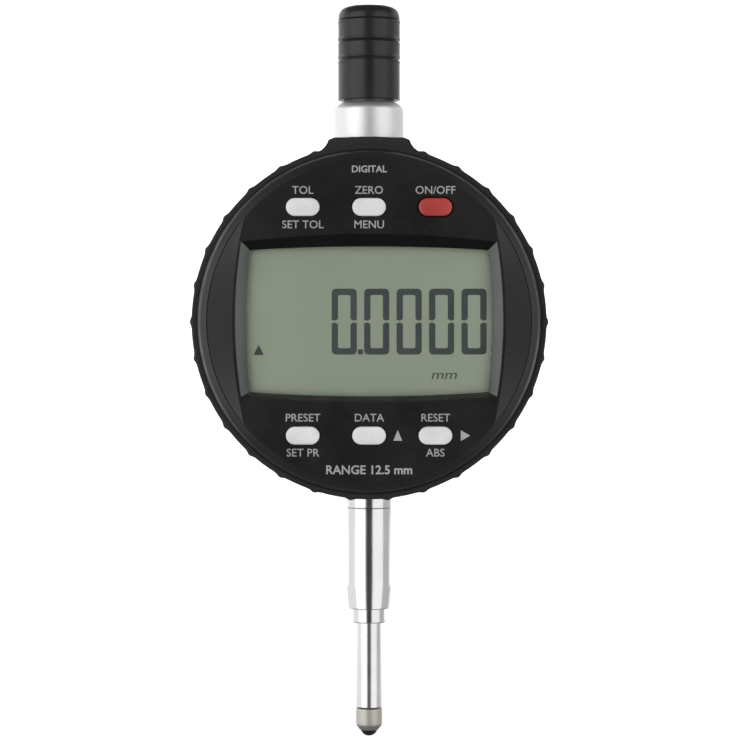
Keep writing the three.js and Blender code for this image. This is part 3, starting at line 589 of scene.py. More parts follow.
def paper(name, colour):
    material, tree, shader = blank(name, 0.9)
    texture = group_node(tree, "surface_grain", Size=60.0, Blotch=2.0)
    colour = np.array(colour)
    blotchy(tree, shader, texture, colours=(colour * 0.995, colour))
    return material


def make_materials(colours):
    """Every finish on the indicator, by its slot name."""
    ink, lcd_ink = (0.36, 0.36, 0.35), colours.display_ink
    body, face = np.array(colours.body), np.array(colours.face)
    worn_white, worn_red = (0.5, 0.5, 0.48), (0.5, 0.16, 0.13)
    finishes = (
        (moulded, "housing_black", colours.body, 0.5, 5200.0, 0.55, 0.5),
        (moulded, "cover_black", colours.body, 0.48, 7000.0, 0.5, 0.4),
        (moulded, "shell_black", colours.body, 0.38, 9000.0, 0.3, 0.3, None, 0.4),
        (moulded, "face_black", colours.face, 0.3, 9000.0, 0.25, 0.3, None, 0.32),
        # The window's walls take copies of one dark finish with light and shade painted in. A paler
        # copy goes on the side walls, painted as lit by the side lamps. A near black copy goes on
        # the upper wall, painted as lying in shade. The lower wall and lip take the copy at 1.8
        # times the face's colour.
        (moulded, "bezel_black", face * 1.8, 0.2, 9000.0, 0.1, 0.2),
        (moulded, "bezel_side", (0.068, 0.075, 0.064), 0.3, 9000.0, 0.1, 0.2),
        (moulded, "bezel_shade", (0.005, 0.005, 0.005), 0.4, 9000.0, 0.1, 0.2, None, 0.15),
        (moulded, "grip_rubber", body * 0.6, 0.72, 4200.0, 0.6, 0.25),
        (moulded, "cap_black", colours.cap, 0.3, 8000.0, 0.2, 0.2, None, 0.36),
        (moulded, "seal_rubber", body * 0.5, 0.8, 4200.0, 0.6, 0.2),
        (moulded, "key_white", colours.key, 0.42, 8000.0, 0.25, 0.2, worn_white),
        (moulded, "key_red", colours.power_key, 0.42, 8000.0, 0.25, 0.2, worn_red),
        (moulded, "chip_black", (0.02, 0.02, 0.02), 0.6, 5000.0, 0.5, 0.1),
        (moulded, "frame_grey", (0.15, 0.15, 0.15), 0.55, 5000.0, 0.4, 0.2),
        (moulded, "pad_grey", (0.2, 0.2, 0.2), 0.7, 4000.0, 0.4, 0.1),
        (moulded, "ink_white", ink, 0.6, 12000.0, 0.3, 0.0, ink),
        (moulded, "lcd_ink", lcd_ink, 0.5, 12000.0, 0.1, 0.0, lcd_ink),
        (metal, "chrome", (0.6, 0.6, 0.59), 0.17, "Z", 7000.0, 0.12, 0.03),
        (metal, "spindle_chrome", (0.62, 0.61, 0.6), 0.24, "Z", 7000.0, 0.15, 0.03),
        (metal, "satin_chrome", (0.71, 0.71, 0.71), 0.47, "Z", 5000.0, 0.3, 0.03),
        # A dark copy of the metal whose colour is painted shade, for the collar's neck under the
        # cap.
        (metal, "shaded_neck", (0.1, 0.1, 0.1), 0.45, "Z", 5000.0, 0.3, 0.03),
        (metal, "tip_steel", (0.46, 0.44, 0.4), 0.5, "Z", 9000.0, 0.4, 0.05),
        (metal, "ball_carbide", (0.06, 0.06, 0.052), 0.35, "XYZ", 2000.0, 0.05, 0.04),
        (metal, "plain_steel", (0.5, 0.5, 0.49), 0.3, "Y", 6000.0, 0.25, 0.06),
        (metal, "carrier_alloy", (0.6, 0.6, 0.6), 0.35, "Z", 5000.0, 0.4, 0.06),
        (metal, "bronze", (0.6, 0.4, 0.16), 0.32, "Z", 5000.0, 0.3, 0.06),
        (circuit, "board_green", (0.02, 0.12, 0.05)),
        (clear_pane, "clear_glass"),
        (crystal, "lcd_green", colours.display),
        (paper, "pale_paper", (0.9, 0.9, 0.9)),
        (paper, "dark_paper", (0.07, 0.07, 0.07)),
    )
    return {name: maker(name, *values) for maker, name, *values in finishes}


FINISHES = {}


def finish_of(slot):
    """The material of a slot. All of them are made the first time that one is asked for."""
    if not FINISHES:
        FINISHES.update(make_materials(bpy.context.scene.indicator_colours))
    return FINISHES[slot]


# ---------------------------------------------------------------- settings


class IndicatorSizes(bpy.types.PropertyGroup):
    rib_count: IntProperty(
        name="Grip ribs", description="Ribs round the grip ring", default=30, min=8
    )
    rib_height: FloatProperty(
        name="Rib height",
        description="How far the grip ribs stand out of the ring",
        default=0.36 * MM,
        subtype="DISTANCE",
        unit="LENGTH",
    )
    digit_height: FloatProperty(
        name="Digit height",
        description="Height of the figures on the display",
        default=11.0 * MM,
        subtype="DISTANCE",
        unit="LENGTH",
    )
    legend_height: FloatProperty(
        name="Legend size",
        description="Size of the lettering beside the keys",
        default=1.85 * MM,
        subtype="DISTANCE",
        unit="LENGTH",
    )


class IndicatorColours(bpy.types.PropertyGroup):
    body: FloatVectorProperty(
        name="Body",
        description="Housing and shell",
        subtype="COLOR",
        default=(0.012, 0.0118, 0.0115),
    )
    face: FloatVectorProperty(
        name="Face",
        description="Front plate",
        subtype="COLOR",
        default=(0.0112, 0.0108, 0.0105),
    )
    cap: FloatVectorProperty(
        name="Cap",
        description="Cap over the spindle's end",
        subtype="COLOR",
        default=(0.0135, 0.012, 0.0124),
    )
    key: FloatVectorProperty(
        name="Keys",
        description="Plain keys",
        subtype="COLOR",
        default=(0.76, 0.76, 0.755),
    )
    power_key: FloatVectorProperty(
        name="Power key",
        description="On and off key",
        subtype="COLOR",
        default=(0.4, 0.039, 0.033),
    )
    display: FloatVectorProperty(
        name="Display",
        description="Sheet behind the figures",
        subtype="COLOR",
        default=(0.222, 0.255, 0.193),
    )
    display_ink: FloatVectorProperty(
        name="Figures",
        description="Figures on the display",
        subtype="COLOR",
        default=(0.02, 0.03, 0.027),
    )


class IndicatorStage(bpy.types.PropertyGroup):
    camera_distance: FloatProperty(
        name="Camera distance",
        description="From the camera to the spindle's axis",
        default=440 * MM,
        subtype="DISTANCE",
        unit="LENGTH",
    )
    view_width: FloatProperty(
        name="View width",
        description="Width of the picture at the spindle's axis",
        default=127.1 * MM,
        subtype="DISTANCE",
        unit="LENGTH",
    )
    panel_power: FloatProperty(
        name="Panel power",
        description="Power of the left panel",
        default=5.1,
        subtype="POWER",
        unit="POWER",
    )
    edge_power: FloatProperty(
        name="Edge power",
        description="Power of the left side lamp, which metal edges pick up",
        default=6.4,
        subtype="POWER",
        unit="POWER",
    )
    backdrop_power: FloatProperty(
        name="Backdrop power",
        description="Power of each lamp on the backdrop",
        default=11.2,
        subtype="POWER",
        unit="POWER",
    )
    world_light: FloatProperty(
        name="Room light", description="Strength of the room's light", default=0.2
    )


# ---------------------------------------------------------------- pieces


class IndicatorOperator(bpy.types.Operator):
    bl_options = {"REGISTER", "UNDO"}

    @property
    def sizes(self):
        return bpy.context.scene.indicator_sizes


class INDICATOR_OT_housing(IndicatorOperator):
    """Fixed housing, back cover and its screws, battery cover and data port cover"""

    bl_idname = "indicator.housing"
    bl_label = "Housing"

    def execute(self, context):
        softened = (
            ("housing_case", "rear_housing", "housing", "housing_black", 0.25),
            ("back_plate", "back_cover", "housing", "cover_black", 0.12),
            ("port_plug", "data_port_cover", "port_cover", "seal_rubber", 0.2),
            ("battery_cover", "battery_lid", "battery_lid", "cover_black", 0.12),
        )
        for name, node, body, slot, bevel in softened:
            fit(cad_copy(name, node, bevel), body, slot, node)
        for i in range(1, 5):
            node = f"back_cover_screw_{i}"
            fit(cad_copy(f"cover_screw_{i}", node, 0.06), "housing", "plain_steel", node)
        return {"FINISHED"}


class INDICATOR_OT_stem(IndicatorOperator):
    """Stem, its nose ring and the collar over the head"""

    bl_idname = "indicator.stem"
    bl_label = "Stem and collar"

    def execute(self, context):
        low, high = span("stem")
        radius, bore = high[0], 3.2
        taper, taper_length = 0.45, 4.0
        groove, groove_depth, groove_half = -31.8, 0.08, 0.1
        outer = [
            (bore, low[2]),
            (radius - taper, low[2]),
            (radius, low[2] + taper_length),
            (radius, groove - groove_half),
            (radius - groove_depth, groove),
            (radius, groove + groove_half),
            (radius, high[2]),
            (bore, high[2]),
        ]
        tube = rounded(outer, [0.1, 0.35, 0.4, 0, 0, 0, 0.1, 0.1], closed=True)
        fit(turned("stem_tube", tube, closed=True), "housing", "chrome", "stem")
        low, high = span("stem_nose")
        bore = 2.5
        nose = [(bore, low[2]), (high[0], low[2]), (high[0], high[2]), (bore, high[2])]
        ring = rounded(nose, [0.15, 0.45, 0.1, 0.1], closed=True)
        fit(turned("nose_ring", ring, closed=True), "housing", "chrome", "stem_nose")
        low, high = span("cap_collar")
        shoulder, rest, seat, spigot, chamfer = 37.9, 31.6, 4.2, 4.5, 0.95
        collar = [
            (bore, low[2]),
            (spigot, low[2]),
            (spigot, rest),
            (high[0], rest),
            (high[0], shoulder - chamfer),
            (high[0] - chamfer, shoulder),
            (seat, shoulder),
            (seat, high[2]),
            (bore, high[2]),
        ]
        radii = [0.1, 0.1, 0, 0.12, 0.5, 0.3, 0, 0.15, 0.1]
        ring = rounded(collar, radii, closed=True)
        collar = turned("top_collar", ring, closed=True)
        fit(collar, "housing", "chrome", "cap_collar", finish="satin_chrome")
        # Painted shade: the collar's neck above the shoulder, which stands in the cap's shadow,
        # takes a dark copy of the metal.
        collar.data.materials.append(finish_of("shaded_neck"))
        for polygon in collar.data.polygons:
            if polygon.center.z / MM - HEAD.z / MM > shoulder + 0.02:
                polygon.material_index = 1
        return {"FINISHED"}


class INDICATOR_OT_cap(IndicatorOperator):
    """Cap over the spindle's upper end, with three fine beads"""

    bl_idname = "indicator.cap"
    bl_label = "Cap"

    def execute(self, context):
        low, high = span("spindle_cap")
        radius, inner, ceiling, top = 5.35, 4.4, 53.2, high[2] - 0.2
        beads, bead_width, bead_height = np.array((45.4, 48.5, 52.3)), 0.42, 0.2
        grooves, groove_width, groove_depth = beads - 0.05, 0.2, 0.34
        rise = np.linspace(low[2] + 0.25, top - 2.4, 160)
        lift = np.exp(-(((rise[:, None] - beads) / bead_width) ** 2)).sum(1) * bead_height
        sink = np.exp(-(((rise[:, None] - grooves) / groove_width) ** 2)).sum(1) * groove_depth
        wall = np.stack([radius + lift - sink, rise], 1)
        crown = rounded([(radius, top - 5.0), (radius, top), (0, top)], [0, 2.3, 0], 12)
        lip = [(inner, ceiling), (inner, low[2]), (radius, low[2]), wall[0]]
        bottom = rounded(lip, [0, 0.12, 0.25, 0], 4)
        profile = np.concatenate([[(0, ceiling)], bottom[:-1], wall, crown[1:]])
        cap = turned("cap_sleeve", profile, sharp=50)
        fit(cap, "cap", "cap_black", "spindle_cap")
        return {"FINISHED"}


class INDICATOR_OT_spindle(IndicatorOperator):
    """Spindle, contact point and its ball"""

    bl_idname = "indicator.spindle"
    bl_label = "Spindle"

    def execute(self, context):
        low, high = span("spindle")
        thread, depth = 1.4, 5.8
        rod = [
            (0, low[2] + depth),
            (thread, low[2] + depth),
            (thread, low[2]),
            (high[0], low[2]),
            (high[0], high[2]),
            (0, high[2]),
        ]
        rod = turned("spindle_rod", rounded(rod, [0, 0, 0.1, 0.25, 0.5, 0]))
        fit(rod, "spindle_set", "chrome", "spindle", finish="spindle_chrome")

        low, high = span("contact_point")
        ball_low, ball_high = span("contact_ball")
        ball_radius, centre = ball_high[0], (ball_low[2] + ball_high[2]) / 2
        top, stud, mouth = span("spindle")[0][2] - 0.1, 1.2, ball_radius
        seat_gap, cone = 0.06, 0.85
        seat_radius = ball_radius + seat_gap
        edge = centre - math.sqrt(seat_radius**2 - mouth**2)
        seat_angle = np.linspace(np.pi / 2, math.atan2(edge - centre, mouth), 14)
        seat = seat_radius * np.stack([np.cos(seat_angle), np.sin(seat_angle)], 1) + (0, centre)
        body = [
            (mouth + 0.05, edge),
            (high[0], edge + cone),
            (high[0], top),
            (stud, top),
            (stud, high[2]),
            (0, high[2]),
        ]
        profile = np.concatenate([seat, rounded(body, [0.1, 0.35, 0.2, 0, 0.1, 0])])
        fit(turned("contact_body", profile), "spindle_set", "tip_steel", "contact_point")

        turn = np.linspace(-np.pi / 2, np.pi / 2, 33)
        sphere = ball_radius * np.stack([np.cos(turn), np.sin(turn)], 1) + (0, centre)
        ball = turned("contact_sphere", sphere, count=64)
        fit(ball, "spindle_set", "ball_carbide", "contact_ball")
        return {"FINISHED"}


class INDICATOR_OT_head(IndicatorOperator):
    """Shell of the display head, with its bevelled rim, and the ribbed grip ring"""

    bl_idname = "indicator.head"
    bl_label = "Head shell and grip"

    def execute(self, context):
        low, high = span("display_shell")
        radius, rim, back = high[0], low[1], high[1]
        rim_inner, inner, wall, hub = 27.02, 27.3, 1.8, 9.25
        ledge, ledge_front, ledge_back, ledge_slope = 26.6, -14.9, -13.9, 0.9
        bevel_length, bevel_in, rim_drop = 3.0, 0.62, 0.85
        section = [
            (hub, back),
            (radius, back),
            (radius, rim + bevel_length),
            (radius - bevel_in, rim + rim_drop),
            (rim_inner, rim),
            (rim_inner, ledge_front),
            (ledge, ledge_front),
            (ledge, ledge_back),
            (inner, ledge_back + ledge_slope),
            (inner, back - wall),
            (hub, back - wall),
        ]
        radii = [0.1, 0.3, 0.4, 0.5, 0.12, 0, 0, 0, 0.3, 0.2, 0.1]
        profile = rounded(section, radii, 5, closed=True)
        cup = turned("head_shell", profile, "y", count=RIM_STEPS, closed=True)
        fit(cup, "display_head", "shell_black", "display_shell")
        self.grip()
        return {"FINISHED"}

    def grip(self):
        """The outer wall is r = base + height * w(t) * e(y): w is a row of narrow bumps round
        the turn, ((1 + cos(n t)) / 2) ^ 8, and e fades them out at both ends of the ring."""
        low, high = span("grip_ring")
        base, inner = high[0] - 0.48, 28.86
        rise, samples, fade_length = self.sizes.rib_height / MM, 24, 0.9
        section = [(inner, low[1]), (base, low[1]), (base, high[1]), (inner, high[1])]
        outer = rounded(section, [0.2, 0.5, 0.35, 0], 5)
        count = self.sizes.rib_count * samples
        along = np.linspace(low[1] + 0.4, high[1] - 0.4, 9)
        middle = np.stack([np.full(len(along), base), along], 1)
        profile = np.concatenate([outer[:7], middle[1:-1], outer[7:]])
        rings = swept_rings(profile, "y", count=count)
        angle = np.linspace(0, 2 * np.pi, count, endpoint=False)
        wave = ((1 + np.cos(self.sizes.rib_count * angle)) / 2) ** 8
        ends = np.minimum(profile[:, 1] - low[1], high[1] - profile[:, 1])
        fade = np.clip(ends / fade_length, 0, 1) ** 0.5 * (profile[:, 0] > inner + 0.2)
        factor = 1 + rise * fade[:, None] * wave[None] / base
        rings[..., 0] *= factor
        rings[..., 2] *= factor
        rows, columns = rings.shape[:2]
        faces = grid_faces(rows, columns, wrap_rows=True)
        ring = new_object("grip_sleeve", rings.reshape(-1, 3), faces, 60)
        fit(ring, "display_head", "grip_rubber", "grip_ring")


KEYS = ("tolerance", "menu", "power", "preset", "data", "reset")
KEY_SIZE = (5.6, 3.0)
WINDOW = dict(
    half_width=22.2, top=14.5, bottom=-13.4, bulge_x=1.0, bulge_top=1.3, bulge_bottom=0.9
)
SIGHT = dict(
    half_width=20.5, top=12.5, bottom=-12.45, bulge_x=0.65, bulge_top=0.6, bulge_bottom=0.7
)
RIDGE, RIDGE_RADIUS = 22.7, 76.0


def key_centre(name):
    low, high = span(f"button_{name}")
    return (low[0] + high[0]) / 2, (low[2] + high[2]) / 2


def ridge_at(z):
    """Half width of the flat middle of the face: a circle of RIDGE_RADIUS through RIDGE."""
    return RIDGE - RIDGE_RADIUS + np.sqrt(RIDGE_RADIUS**2 - z**2)


class INDICATOR_OT_face(IndicatorOperator):
    """Face plate: flat middle, sloped side crescents, sunk window and key holes"""

    bl_idname = "indicator.face"
    bl_label = "Face plate"

    def execute(self, context):
        low, high = span("face_plate")
        front, back, radius, edge = low[1], high[1], high[0] - 0.3, -17.1
        rim_round, lip, key_gap, ridge_end = 0.14, 0.1, 0.4, 21.0
        slope_y, step_y, sight_y = -16.95, -16.25, -16.15

        def height(points):
            """Flat at the front inside the ridges, then straight down to the edge at the rim."""
            x, z = np.abs(points[:, 0]), points[:, 1]
            ridge = ridge_at(z)
            rim = np.sqrt(np.maximum(radius**2 - z**2, 0))
            share = np.clip((x - ridge) / np.maximum(rim - ridge, 1e-6), 0, 1)
            return np.where(rim > ridge, front + (edge - front) * share, front)

        def at(points, y):
            return np.insert(points, 1, y, axis=1)

        rim = circle(radius - rim_round, RIM_STEPS)
        window = pillow(**WINDOW)
        hole_size = [side + key_gap for side in KEY_SIZE]
        key_holes = [stadium(*hole_size, key_centre(name)) for name in KEYS]
        reach = 0.995 * math.sqrt((radius - rim_round) ** 2 - ridge_end**2)
        z = np.linspace(-reach, reach, 41)
        ridges = [np.stack([side * ridge_at(z), z], 1) for side in (1, -1)]
        ridges = [line[np.hypot(*line.T) < radius - rim_round - 0.02] for line in ridges]
        holes = [grown(window, lip), *(grown(hole, lip) for hole in key_holes)]
        flat, triangles = filled(rim, holes, ridges)
        points = [at(flat, height(flat))]
        faces = triangles.tolist()
        start = len(flat)

        sight = pillow(**SIGHT)
        rim_height, rim_loops = height(rim), []
        for a in np.linspace(0, np.pi / 2, 6):
            loop = circle(radius - rim_round * (1 - math.sin(a)), RIM_STEPS)
            rim_loops.append(at(loop, rim_height + rim_round * (1 - math.cos(a))))
        sets = [
            [*rim_loops, at(circle(radius, RIM_STEPS), back)],
            [
                at(holes[0], front),
                at(grown(window, 0.03), front + 0.04),
                at(window, front + lip),
                at(0.5 * (window + sight), slope_y),
                at(grown(sight, 0.05), step_y),
                at(sight, sight_y),
                at(sight, back),
            ],
        ]
        for hole, wide in zip(key_holes, holes[1:]):
            middle = at(grown(hole, 0.03), front + 0.04)
            sets.append([at(wide, front), middle, at(hole, front + lip), at(hole, back)])
        for loops in sets:
            points.append(np.concatenate(loops))
            faces += grid_faces(len(loops), len(loops[0]), start)
            start += len(loops) * len(loops[0])
        behind, triangles = filled(circle(radius, RIM_STEPS), [sight, *key_holes])
        points.append(at(behind, back))
        faces += (triangles + start).tolist()
        plate = new_object("face_panel", np.concatenate(points), faces, 22)
        self.mark_ridges(plate.data)
        fit(plate, "display_head", "face_black", "face_plate")
        for slot in ("bezel_black", "bezel_side", "bezel_shade"):
            plate.data.materials.append(finish_of(slot))
        # Painted light and shade on the window's walls, chosen by the way each face points:
        # sideways walls get the paler copy painted as lit by the side lamps, downward facing upper
        # walls get the near black copy painted as shade, and the rest get the bezel copy.
        for polygon in plate.data.polygons:
            x, y, z = (np.array(polygon.center) - ORIGIN) / MM
            if y < sight_y + 0.05 and inside(np.array([[x, z]]), window)[0]:
                sideways, down = abs(polygon.normal.x) > 0.5, polygon.normal.z < -0.3
                polygon.material_index = 2 if sideways else 3 if down else 1
        return {"FINISHED"}

    def mark_ridges(self, mesh):
        """Keeps the two ridge lines crisp: edges whose both ends lie on a ridge."""
        points = np.zeros(len(mesh.vertices) * 3)
        mesh.vertices.foreach_get("co", points)
        points = (points.reshape(-1, 3) - ORIGIN) / MM
        on_ridge = np.abs(np.abs(points[:, 0]) - ridge_at(np.clip(points[:, 2], -30, 30))) < 0.01
        on_ridge &= points[:, 1] < span("face_plate")[0][1] + 0.05
        ends = np.zeros(len(mesh.edges) * 2, int)
        mesh.edges.foreach_get("vertices", ends)
        both = on_ridge[ends.reshape(-1, 2)].all(1)
        for index in np.flatnonzero(both):
            mesh.edges[index].use_edge_sharp = True


def zero_outlines(width, height, stroke):
    """The two halves of a display nought, each a band bent round two rounded corners."""
    w, h, t = width / 2, height / 2, stroke
    end, point, inner = 0.31, 0.13, 0.43
    half = [
        (w, end),
        (w, h),
        (-w, h),
        (-w, end),
        (-w + t / 2, point),
        (-w + t, inner),
        (-w + t, h - t),
        (w - t, h - t),
        (w - t, inner),
        (w - t / 2, point),
    ]
    band = rounded(half, [0, 0.85, 0.85, 0, 0.1, 0, 0.35, 0.35, 0, 0.1], closed=True)
    return [band, band * (1, -1)]


def lettering(text, height, x, z, y, thickness=0.02, stretch=1.0, bold=0.012, slant=0.0):
    """A mesh of a line of text, centred on (x, z) and standing out of the plane y."""
    curve = bpy.data.curves.new("line", "FONT")
    curve.body = text
    curve.size = height * MM
    curve.align_x = "CENTER"
    curve.align_y = "CENTER"
    curve.extrude = thickness * MM
    curve.offset = bold * height * MM
    curve.shear = slant
    curve.resolution_u = 3
    holder = linked("line", curve)
    bpy.context.view_layer.update()
    evaluated = holder.evaluated_get(bpy.context.evaluated_depsgraph_get())
    mesh = bpy.data.meshes.new_from_object(evaluated)
    bpy.data.objects.remove(holder)
    bpy.data.curves.remove(curve)
    turn = Euler((math.pi / 2, 0, 0)).to_matrix().to_4x4()
    width = Matrix.Diagonal((stretch, 1, 1, 1))
    mesh.transform(Matrix.Translation(Vector(place((x, y, z)))) @ turn @ width)
    return mesh


def joined(name, meshes, sharp=30):
    """One object holding several meshes."""
    whole = bmesh.new()
    for mesh in meshes:
        whole.from_mesh(mesh)
        bpy.data.meshes.remove(mesh)
    merged = bpy.data.meshes.new(name)
    whole.to_mesh(merged)
    whole.free()
    return finish_mesh(linked(name, merged), sharp)


class INDICATOR_OT_display(IndicatorOperator):
    """Display figures, unit and pointer mark"""

    bl_idname = "indicator.display"
    bl_label = "Display"

    def execute(self, context):
        sheet, film = span("lcd_panel")[0][1], 0.03
        height = self.sizes.digit_height / MM
        width, stroke, pitch, last = 4.2, 1.06, 5.41, 17.5
        bars = []
        for i in range(5):
            centre = np.array((last - i * pitch, 0.0))
            bars += [outline + centre for outline in zero_outlines(width, height, stroke)]
        square = 0.42 * np.array([(-1, -1), (1, -1), (1, 1), (-1, 1)])
        bars.append(square + (last - 3.5 * pitch, -height / 2 + 0.45))
        pointer, pointer_place = [(-0.86, -0.78), (0.86, -0.78), (0.0, 0.95)], (-18.4, -4.8)
        bars.append(np.array(pointer) + pointer_place)
        figures = prisms("display_figures", bars, sheet - 0.01, sheet - film)
        fit(figures, "display_head", "lcd_green", finish="lcd_ink")
        size, unit_x, unit_z = 2.3, 12.45, -8.9
        middle, thickness = sheet - film / 2, film / 2 - 0.005
        unit = lettering("mm", size, unit_x, unit_z, middle, thickness, 1.25, 0.0, 0.2)
        fit(joined("display_unit", [unit]), "display_head", "lcd_green", finish="lcd_ink")
        return {"FINISHED"}


class INDICATOR_OT_keys(IndicatorOperator):
    """The six keys, crowned caps on flanges that sit under the face"""

    bl_idname = "indicator.keys"
    bl_label = "Keys"

    def execute(self, context):
        for name in KEYS:
            node, slot = f"button_{name}", "key_red" if name == "power" else "key_white"
            low, high = span(node)
            radius, half = KEY_SIZE[1] / 2, (KEY_SIZE[0] - KEY_SIZE[1]) / 2
            flange, flange_front = (high[2] - low[2]) / 2, high[1] - 0.8
            crown = low[1]
            section = [
                (0, crown),
                (radius * 0.55, crown + 0.03),
                (radius, crown + 0.16),
                (radius, flange_front),
                (flange, flange_front),
                (flange, high[1]),
                (0, high[1]),
            ]
            profile = rounded(section, [0, 0.5, 0.3, 0.05, 0.1, 0.1, 0], 5)
            cap = turned(f"key_{name}_cap", profile, "y", key_centre(name), 64, half, sharp=40)
            fit(cap, f"key_{name}", slot, node)
        return {"FINISHED"}


class INDICATOR_OT_legends(IndicatorOperator):
    """Printed legends beside the keys: plain function words and marks"""

    bl_idname = "indicator.legends"
    bl_label = "Legends"

    def execute(self, context):
        face = span("face_plate")[0][1] - 0.012
        size = self.sizes.legend_height / MM
        left, middle, right = (key_centre(name)[0] for name in ("tolerance", "menu", "power"))
        upper, lower = key_centre("menu")[1], key_centre("data")[1]
        title_z, range_z, right_mark_x, up_mark_x = 25.2, -24.7, 15.9, 4.75
        words = (
            ("TOL", left, upper + 2.75),
            ("SET TOL", left, upper - 2.95),
            ("ZERO", middle, upper + 2.75),
            ("MENU", middle, upper - 2.95),
            ("ON/OFF", right, upper + 2.75),
            ("PRESET", left, lower + 2.9),
            ("SET PR", left, lower - 2.9),
            ("DATA", middle, lower + 2.9),
            ("RESET", right, lower + 2.9),
            ("ABS", right, lower - 2.9),
        )
        lines = [lettering(text, size, x, z, face, bold=0.004) for text, x, z in words]
        lines.append(lettering("DIGITAL", size * 0.85, middle, title_z, face, bold=0.02))
        lines.append(lettering("RANGE 12.5 mm", size * 1.1, middle, range_z, face, bold=0.02))
        marks = [
            np.array([(-0.7, -0.9), (0.85, 0.0), (-0.7, 0.9)]) + (right_mark_x, lower),
            np.array([(-0.75, -0.85), (0.75, -0.85), (0.0, 0.95)]) + (up_mark_x, lower),
        ]
        solid = prisms("marks", marks, face + 0.02, face - 0.02)
        lines.append(solid.data.copy())
        bpy.data.objects.remove(solid)
        fit(joined("printed_legends", lines), "display_head", "face_black", finish="ink_white")
        return {"FINISHED"}


class INDICATOR_OT_inner(IndicatorOperator):
    """Finishes of the frame's own nodes that stay as they are"""

    bl_idname = "indicator.inner"
    bl_label = "Inner pieces"

    def execute(self, context):
        slots = {entry["node"]: entry["material_slot"] for entry in frame["record"]["subparts"]}
        for node, obj in frame["nodes"].items():
            if not obj.hide_render:
                obj.data.materials.clear()
                obj.data.materials.append(finish_of(slots[node]))
        return {"FINISHED"}


# ---------------------------------------------------------------- stage


def sheet_object(name, points, rows, columns, material):
    """An open sheet of the stage from a grid of points in metres."""
    i, j = np.meshgrid(np.arange(rows - 1), np.arange(columns - 1), indexing="ij")
    first = (i * columns + j).ravel()
    quads = np.stack([first, first + 1, first + columns + 1, first + columns], 1)
    mesh = bpy.data.meshes.new(name)
    mesh.from_pydata(points.reshape(-1, 3).tolist(), [], quads.tolist())
    mesh.shade_smooth()
    mesh.materials.append(material)
    obj = linked(name, mesh)


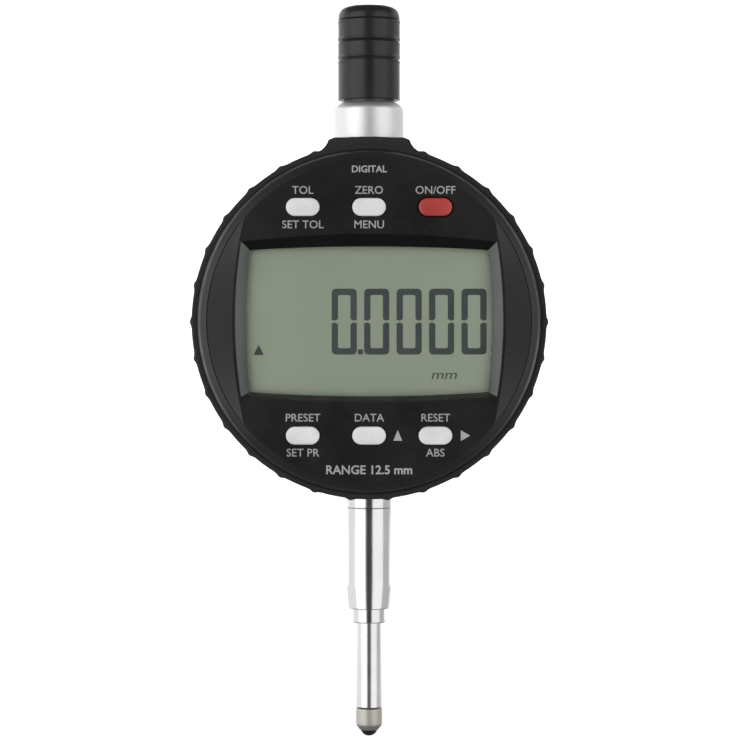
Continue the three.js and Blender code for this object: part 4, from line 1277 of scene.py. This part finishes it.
class INDICATOR_OT_stage(IndicatorOperator):
    """Pale sweep, soft side lamps, a dark card behind the camera, and the camera"""

    bl_idname = "indicator.stage"
    bl_label = "Stage"

    def execute(self, context):
        settings = context.scene.indicator_stage
        self.sweep()
        self.card()
        self.room(settings)
        self.lamps(settings)
        self.camera(settings)
        context.scene.view_settings.view_transform = "Standard"
        return {"FINISHED"}

    def sweep(self):
        """Floor that turns up into a wall: a straight run, a quarter circle and a straight rise."""
        floor, front, wall, bend, top = -0.075, 0.22, 1.5, 0.5, 2.2
        turn = np.linspace(-np.pi / 2, 0, 16)
        curve = np.stack([wall - bend + bend * np.cos(turn), floor + bend + bend * np.sin(turn)], 1)
        line = np.concatenate([[(front, floor)], curve, [(wall, top)]])
        across = np.linspace(-0.9, 0.9, 9)
        grid = np.stack(np.broadcast_arrays(across[None], line[:, :1], line[:, 1:]), -1)
        sheet_object("sweep", grid, len(line), len(across), finish_of("pale_paper"))

    def card(self):
        """A dark card behind the camera, which the flat face and the chrome pick up."""
        half, low, high, y = 0.13, -0.5, 0.3, -0.62
        x, z = np.meshgrid((-half, half), (low, high))
        grid = np.stack([x, np.full_like(x, y), z], -1)
        sheet_object("dark_card", grid, 2, 2, finish_of("dark_paper"))

    def room(self, settings):
        world = bpy.data.worlds.new("room")
        world.use_nodes = True
        background = world.node_tree.nodes["Background"]
        background.inputs["Color"].default_value = (1, 1, 1, 1)
        background.inputs["Strength"].default_value = settings.world_light
        bpy.context.scene.world = world

    def lamps(self, settings):
        """Tall panels beside the camera, paler ones further round, and two for the backdrop."""
        object_middle = Vector((0, 0, HEAD.z))
        left_wall, right_wall = Vector((-0.25, 1.5, 0.1)), Vector((0.25, 1.5, 0.1))
        front, side, back = settings.panel_power, settings.edge_power, settings.backdrop_power
        for name, at, target, size, power in (
            ("panel_left", (-0.535, -0.526, 0.06), object_middle, (0.8, 1.2), front),
            ("panel_right", (0.535, -0.526, 0.06), object_middle, (0.8, 1.2), 0.74 * front),
            ("edge_left", (-0.975, 0.39, 0.05), object_middle, (1.65, 1.2), side),
            ("edge_right", (0.975, 0.39, 0.05), object_middle, (1.65, 1.2), 0.5 * side),
            ("backdrop_left", (-0.75, 0.5, 0.5), left_wall, (0.5, 0.6), back),
            ("backdrop_right", (0.75, 0.5, 0.5), right_wall, (0.5, 0.6), back),
        ):
            light = bpy.data.lights.new(name, "AREA")
            light.shape = "RECTANGLE"
            light.size, light.size_y = size
            light.energy = power
            lamp = linked(name, light)
            lamp.location = at
            lamp.rotation_euler = (target - Vector(at)).to_track_quat("-Z", "Y").to_euler()

    def camera(self, settings):
        """Level with a point a little under the head's centre, looking along +Y."""
        lens = bpy.data.cameras.new("camera")
        lens.sensor_width = 36.0
        lens.lens = lens.sensor_width * settings.camera_distance / settings.view_width
        lens.clip_end = 20.0
        aside, below = 0.18 * MM, 7.74 * MM
        eye = linked("camera", lens)
        eye.location = (-aside, -settings.camera_distance, HEAD.z - below)
        eye.rotation_euler = (math.pi / 2, 0, 0)
        bpy.context.scene.camera = eye


# ---------------------------------------------------------------- panel and registration


OPERATORS = (
    INDICATOR_OT_housing,
    INDICATOR_OT_stem,
    INDICATOR_OT_cap,
    INDICATOR_OT_spindle,
    INDICATOR_OT_head,
    INDICATOR_OT_face,
    INDICATOR_OT_display,
    INDICATOR_OT_keys,
    INDICATOR_OT_legends,
    INDICATOR_OT_inner,
    INDICATOR_OT_stage,
)


class INDICATOR_PT_panel(bpy.types.Panel):
    """Sizes, colours and the piece operators"""

    bl_label = "Digital indicator"
    bl_idname = "INDICATOR_PT_panel"
    bl_space_type = "VIEW_3D"
    bl_region_type = "UI"
    bl_category = "Indicator"

    def draw(self, context):
        scene = context.scene
        for group in (scene.indicator_sizes, scene.indicator_colours, scene.indicator_stage):
            box = self.layout.box()
            for name in group.__annotations__:
                box.prop(group, name)
        for operator in OPERATORS:
            self.layout.operator(operator.bl_idname)


SETTINGS = {
    "indicator_sizes": IndicatorSizes,
    "indicator_colours": IndicatorColours,
    "indicator_stage": IndicatorStage,
}
CLASSES = (*SETTINGS.values(), *OPERATORS, INDICATOR_PT_panel)


def register():
    for cls in CLASSES:
        bpy.utils.register_class(cls)
    for name, cls in SETTINGS.items():
        setattr(bpy.types.Scene, name, PointerProperty(type=cls))


def unregister():
    for name in SETTINGS:
        delattr(bpy.types.Scene, name)
    for cls in reversed(CLASSES):
        bpy.utils.unregister_class(cls)


def main():
    register()
    for operator in OPERATORS:
        category, action = operator.bl_idname.split(".")
        getattr(getattr(bpy.ops, category), action)()
    bpy.context.view_layer.update()


if __name__ == "__main__":
    main()
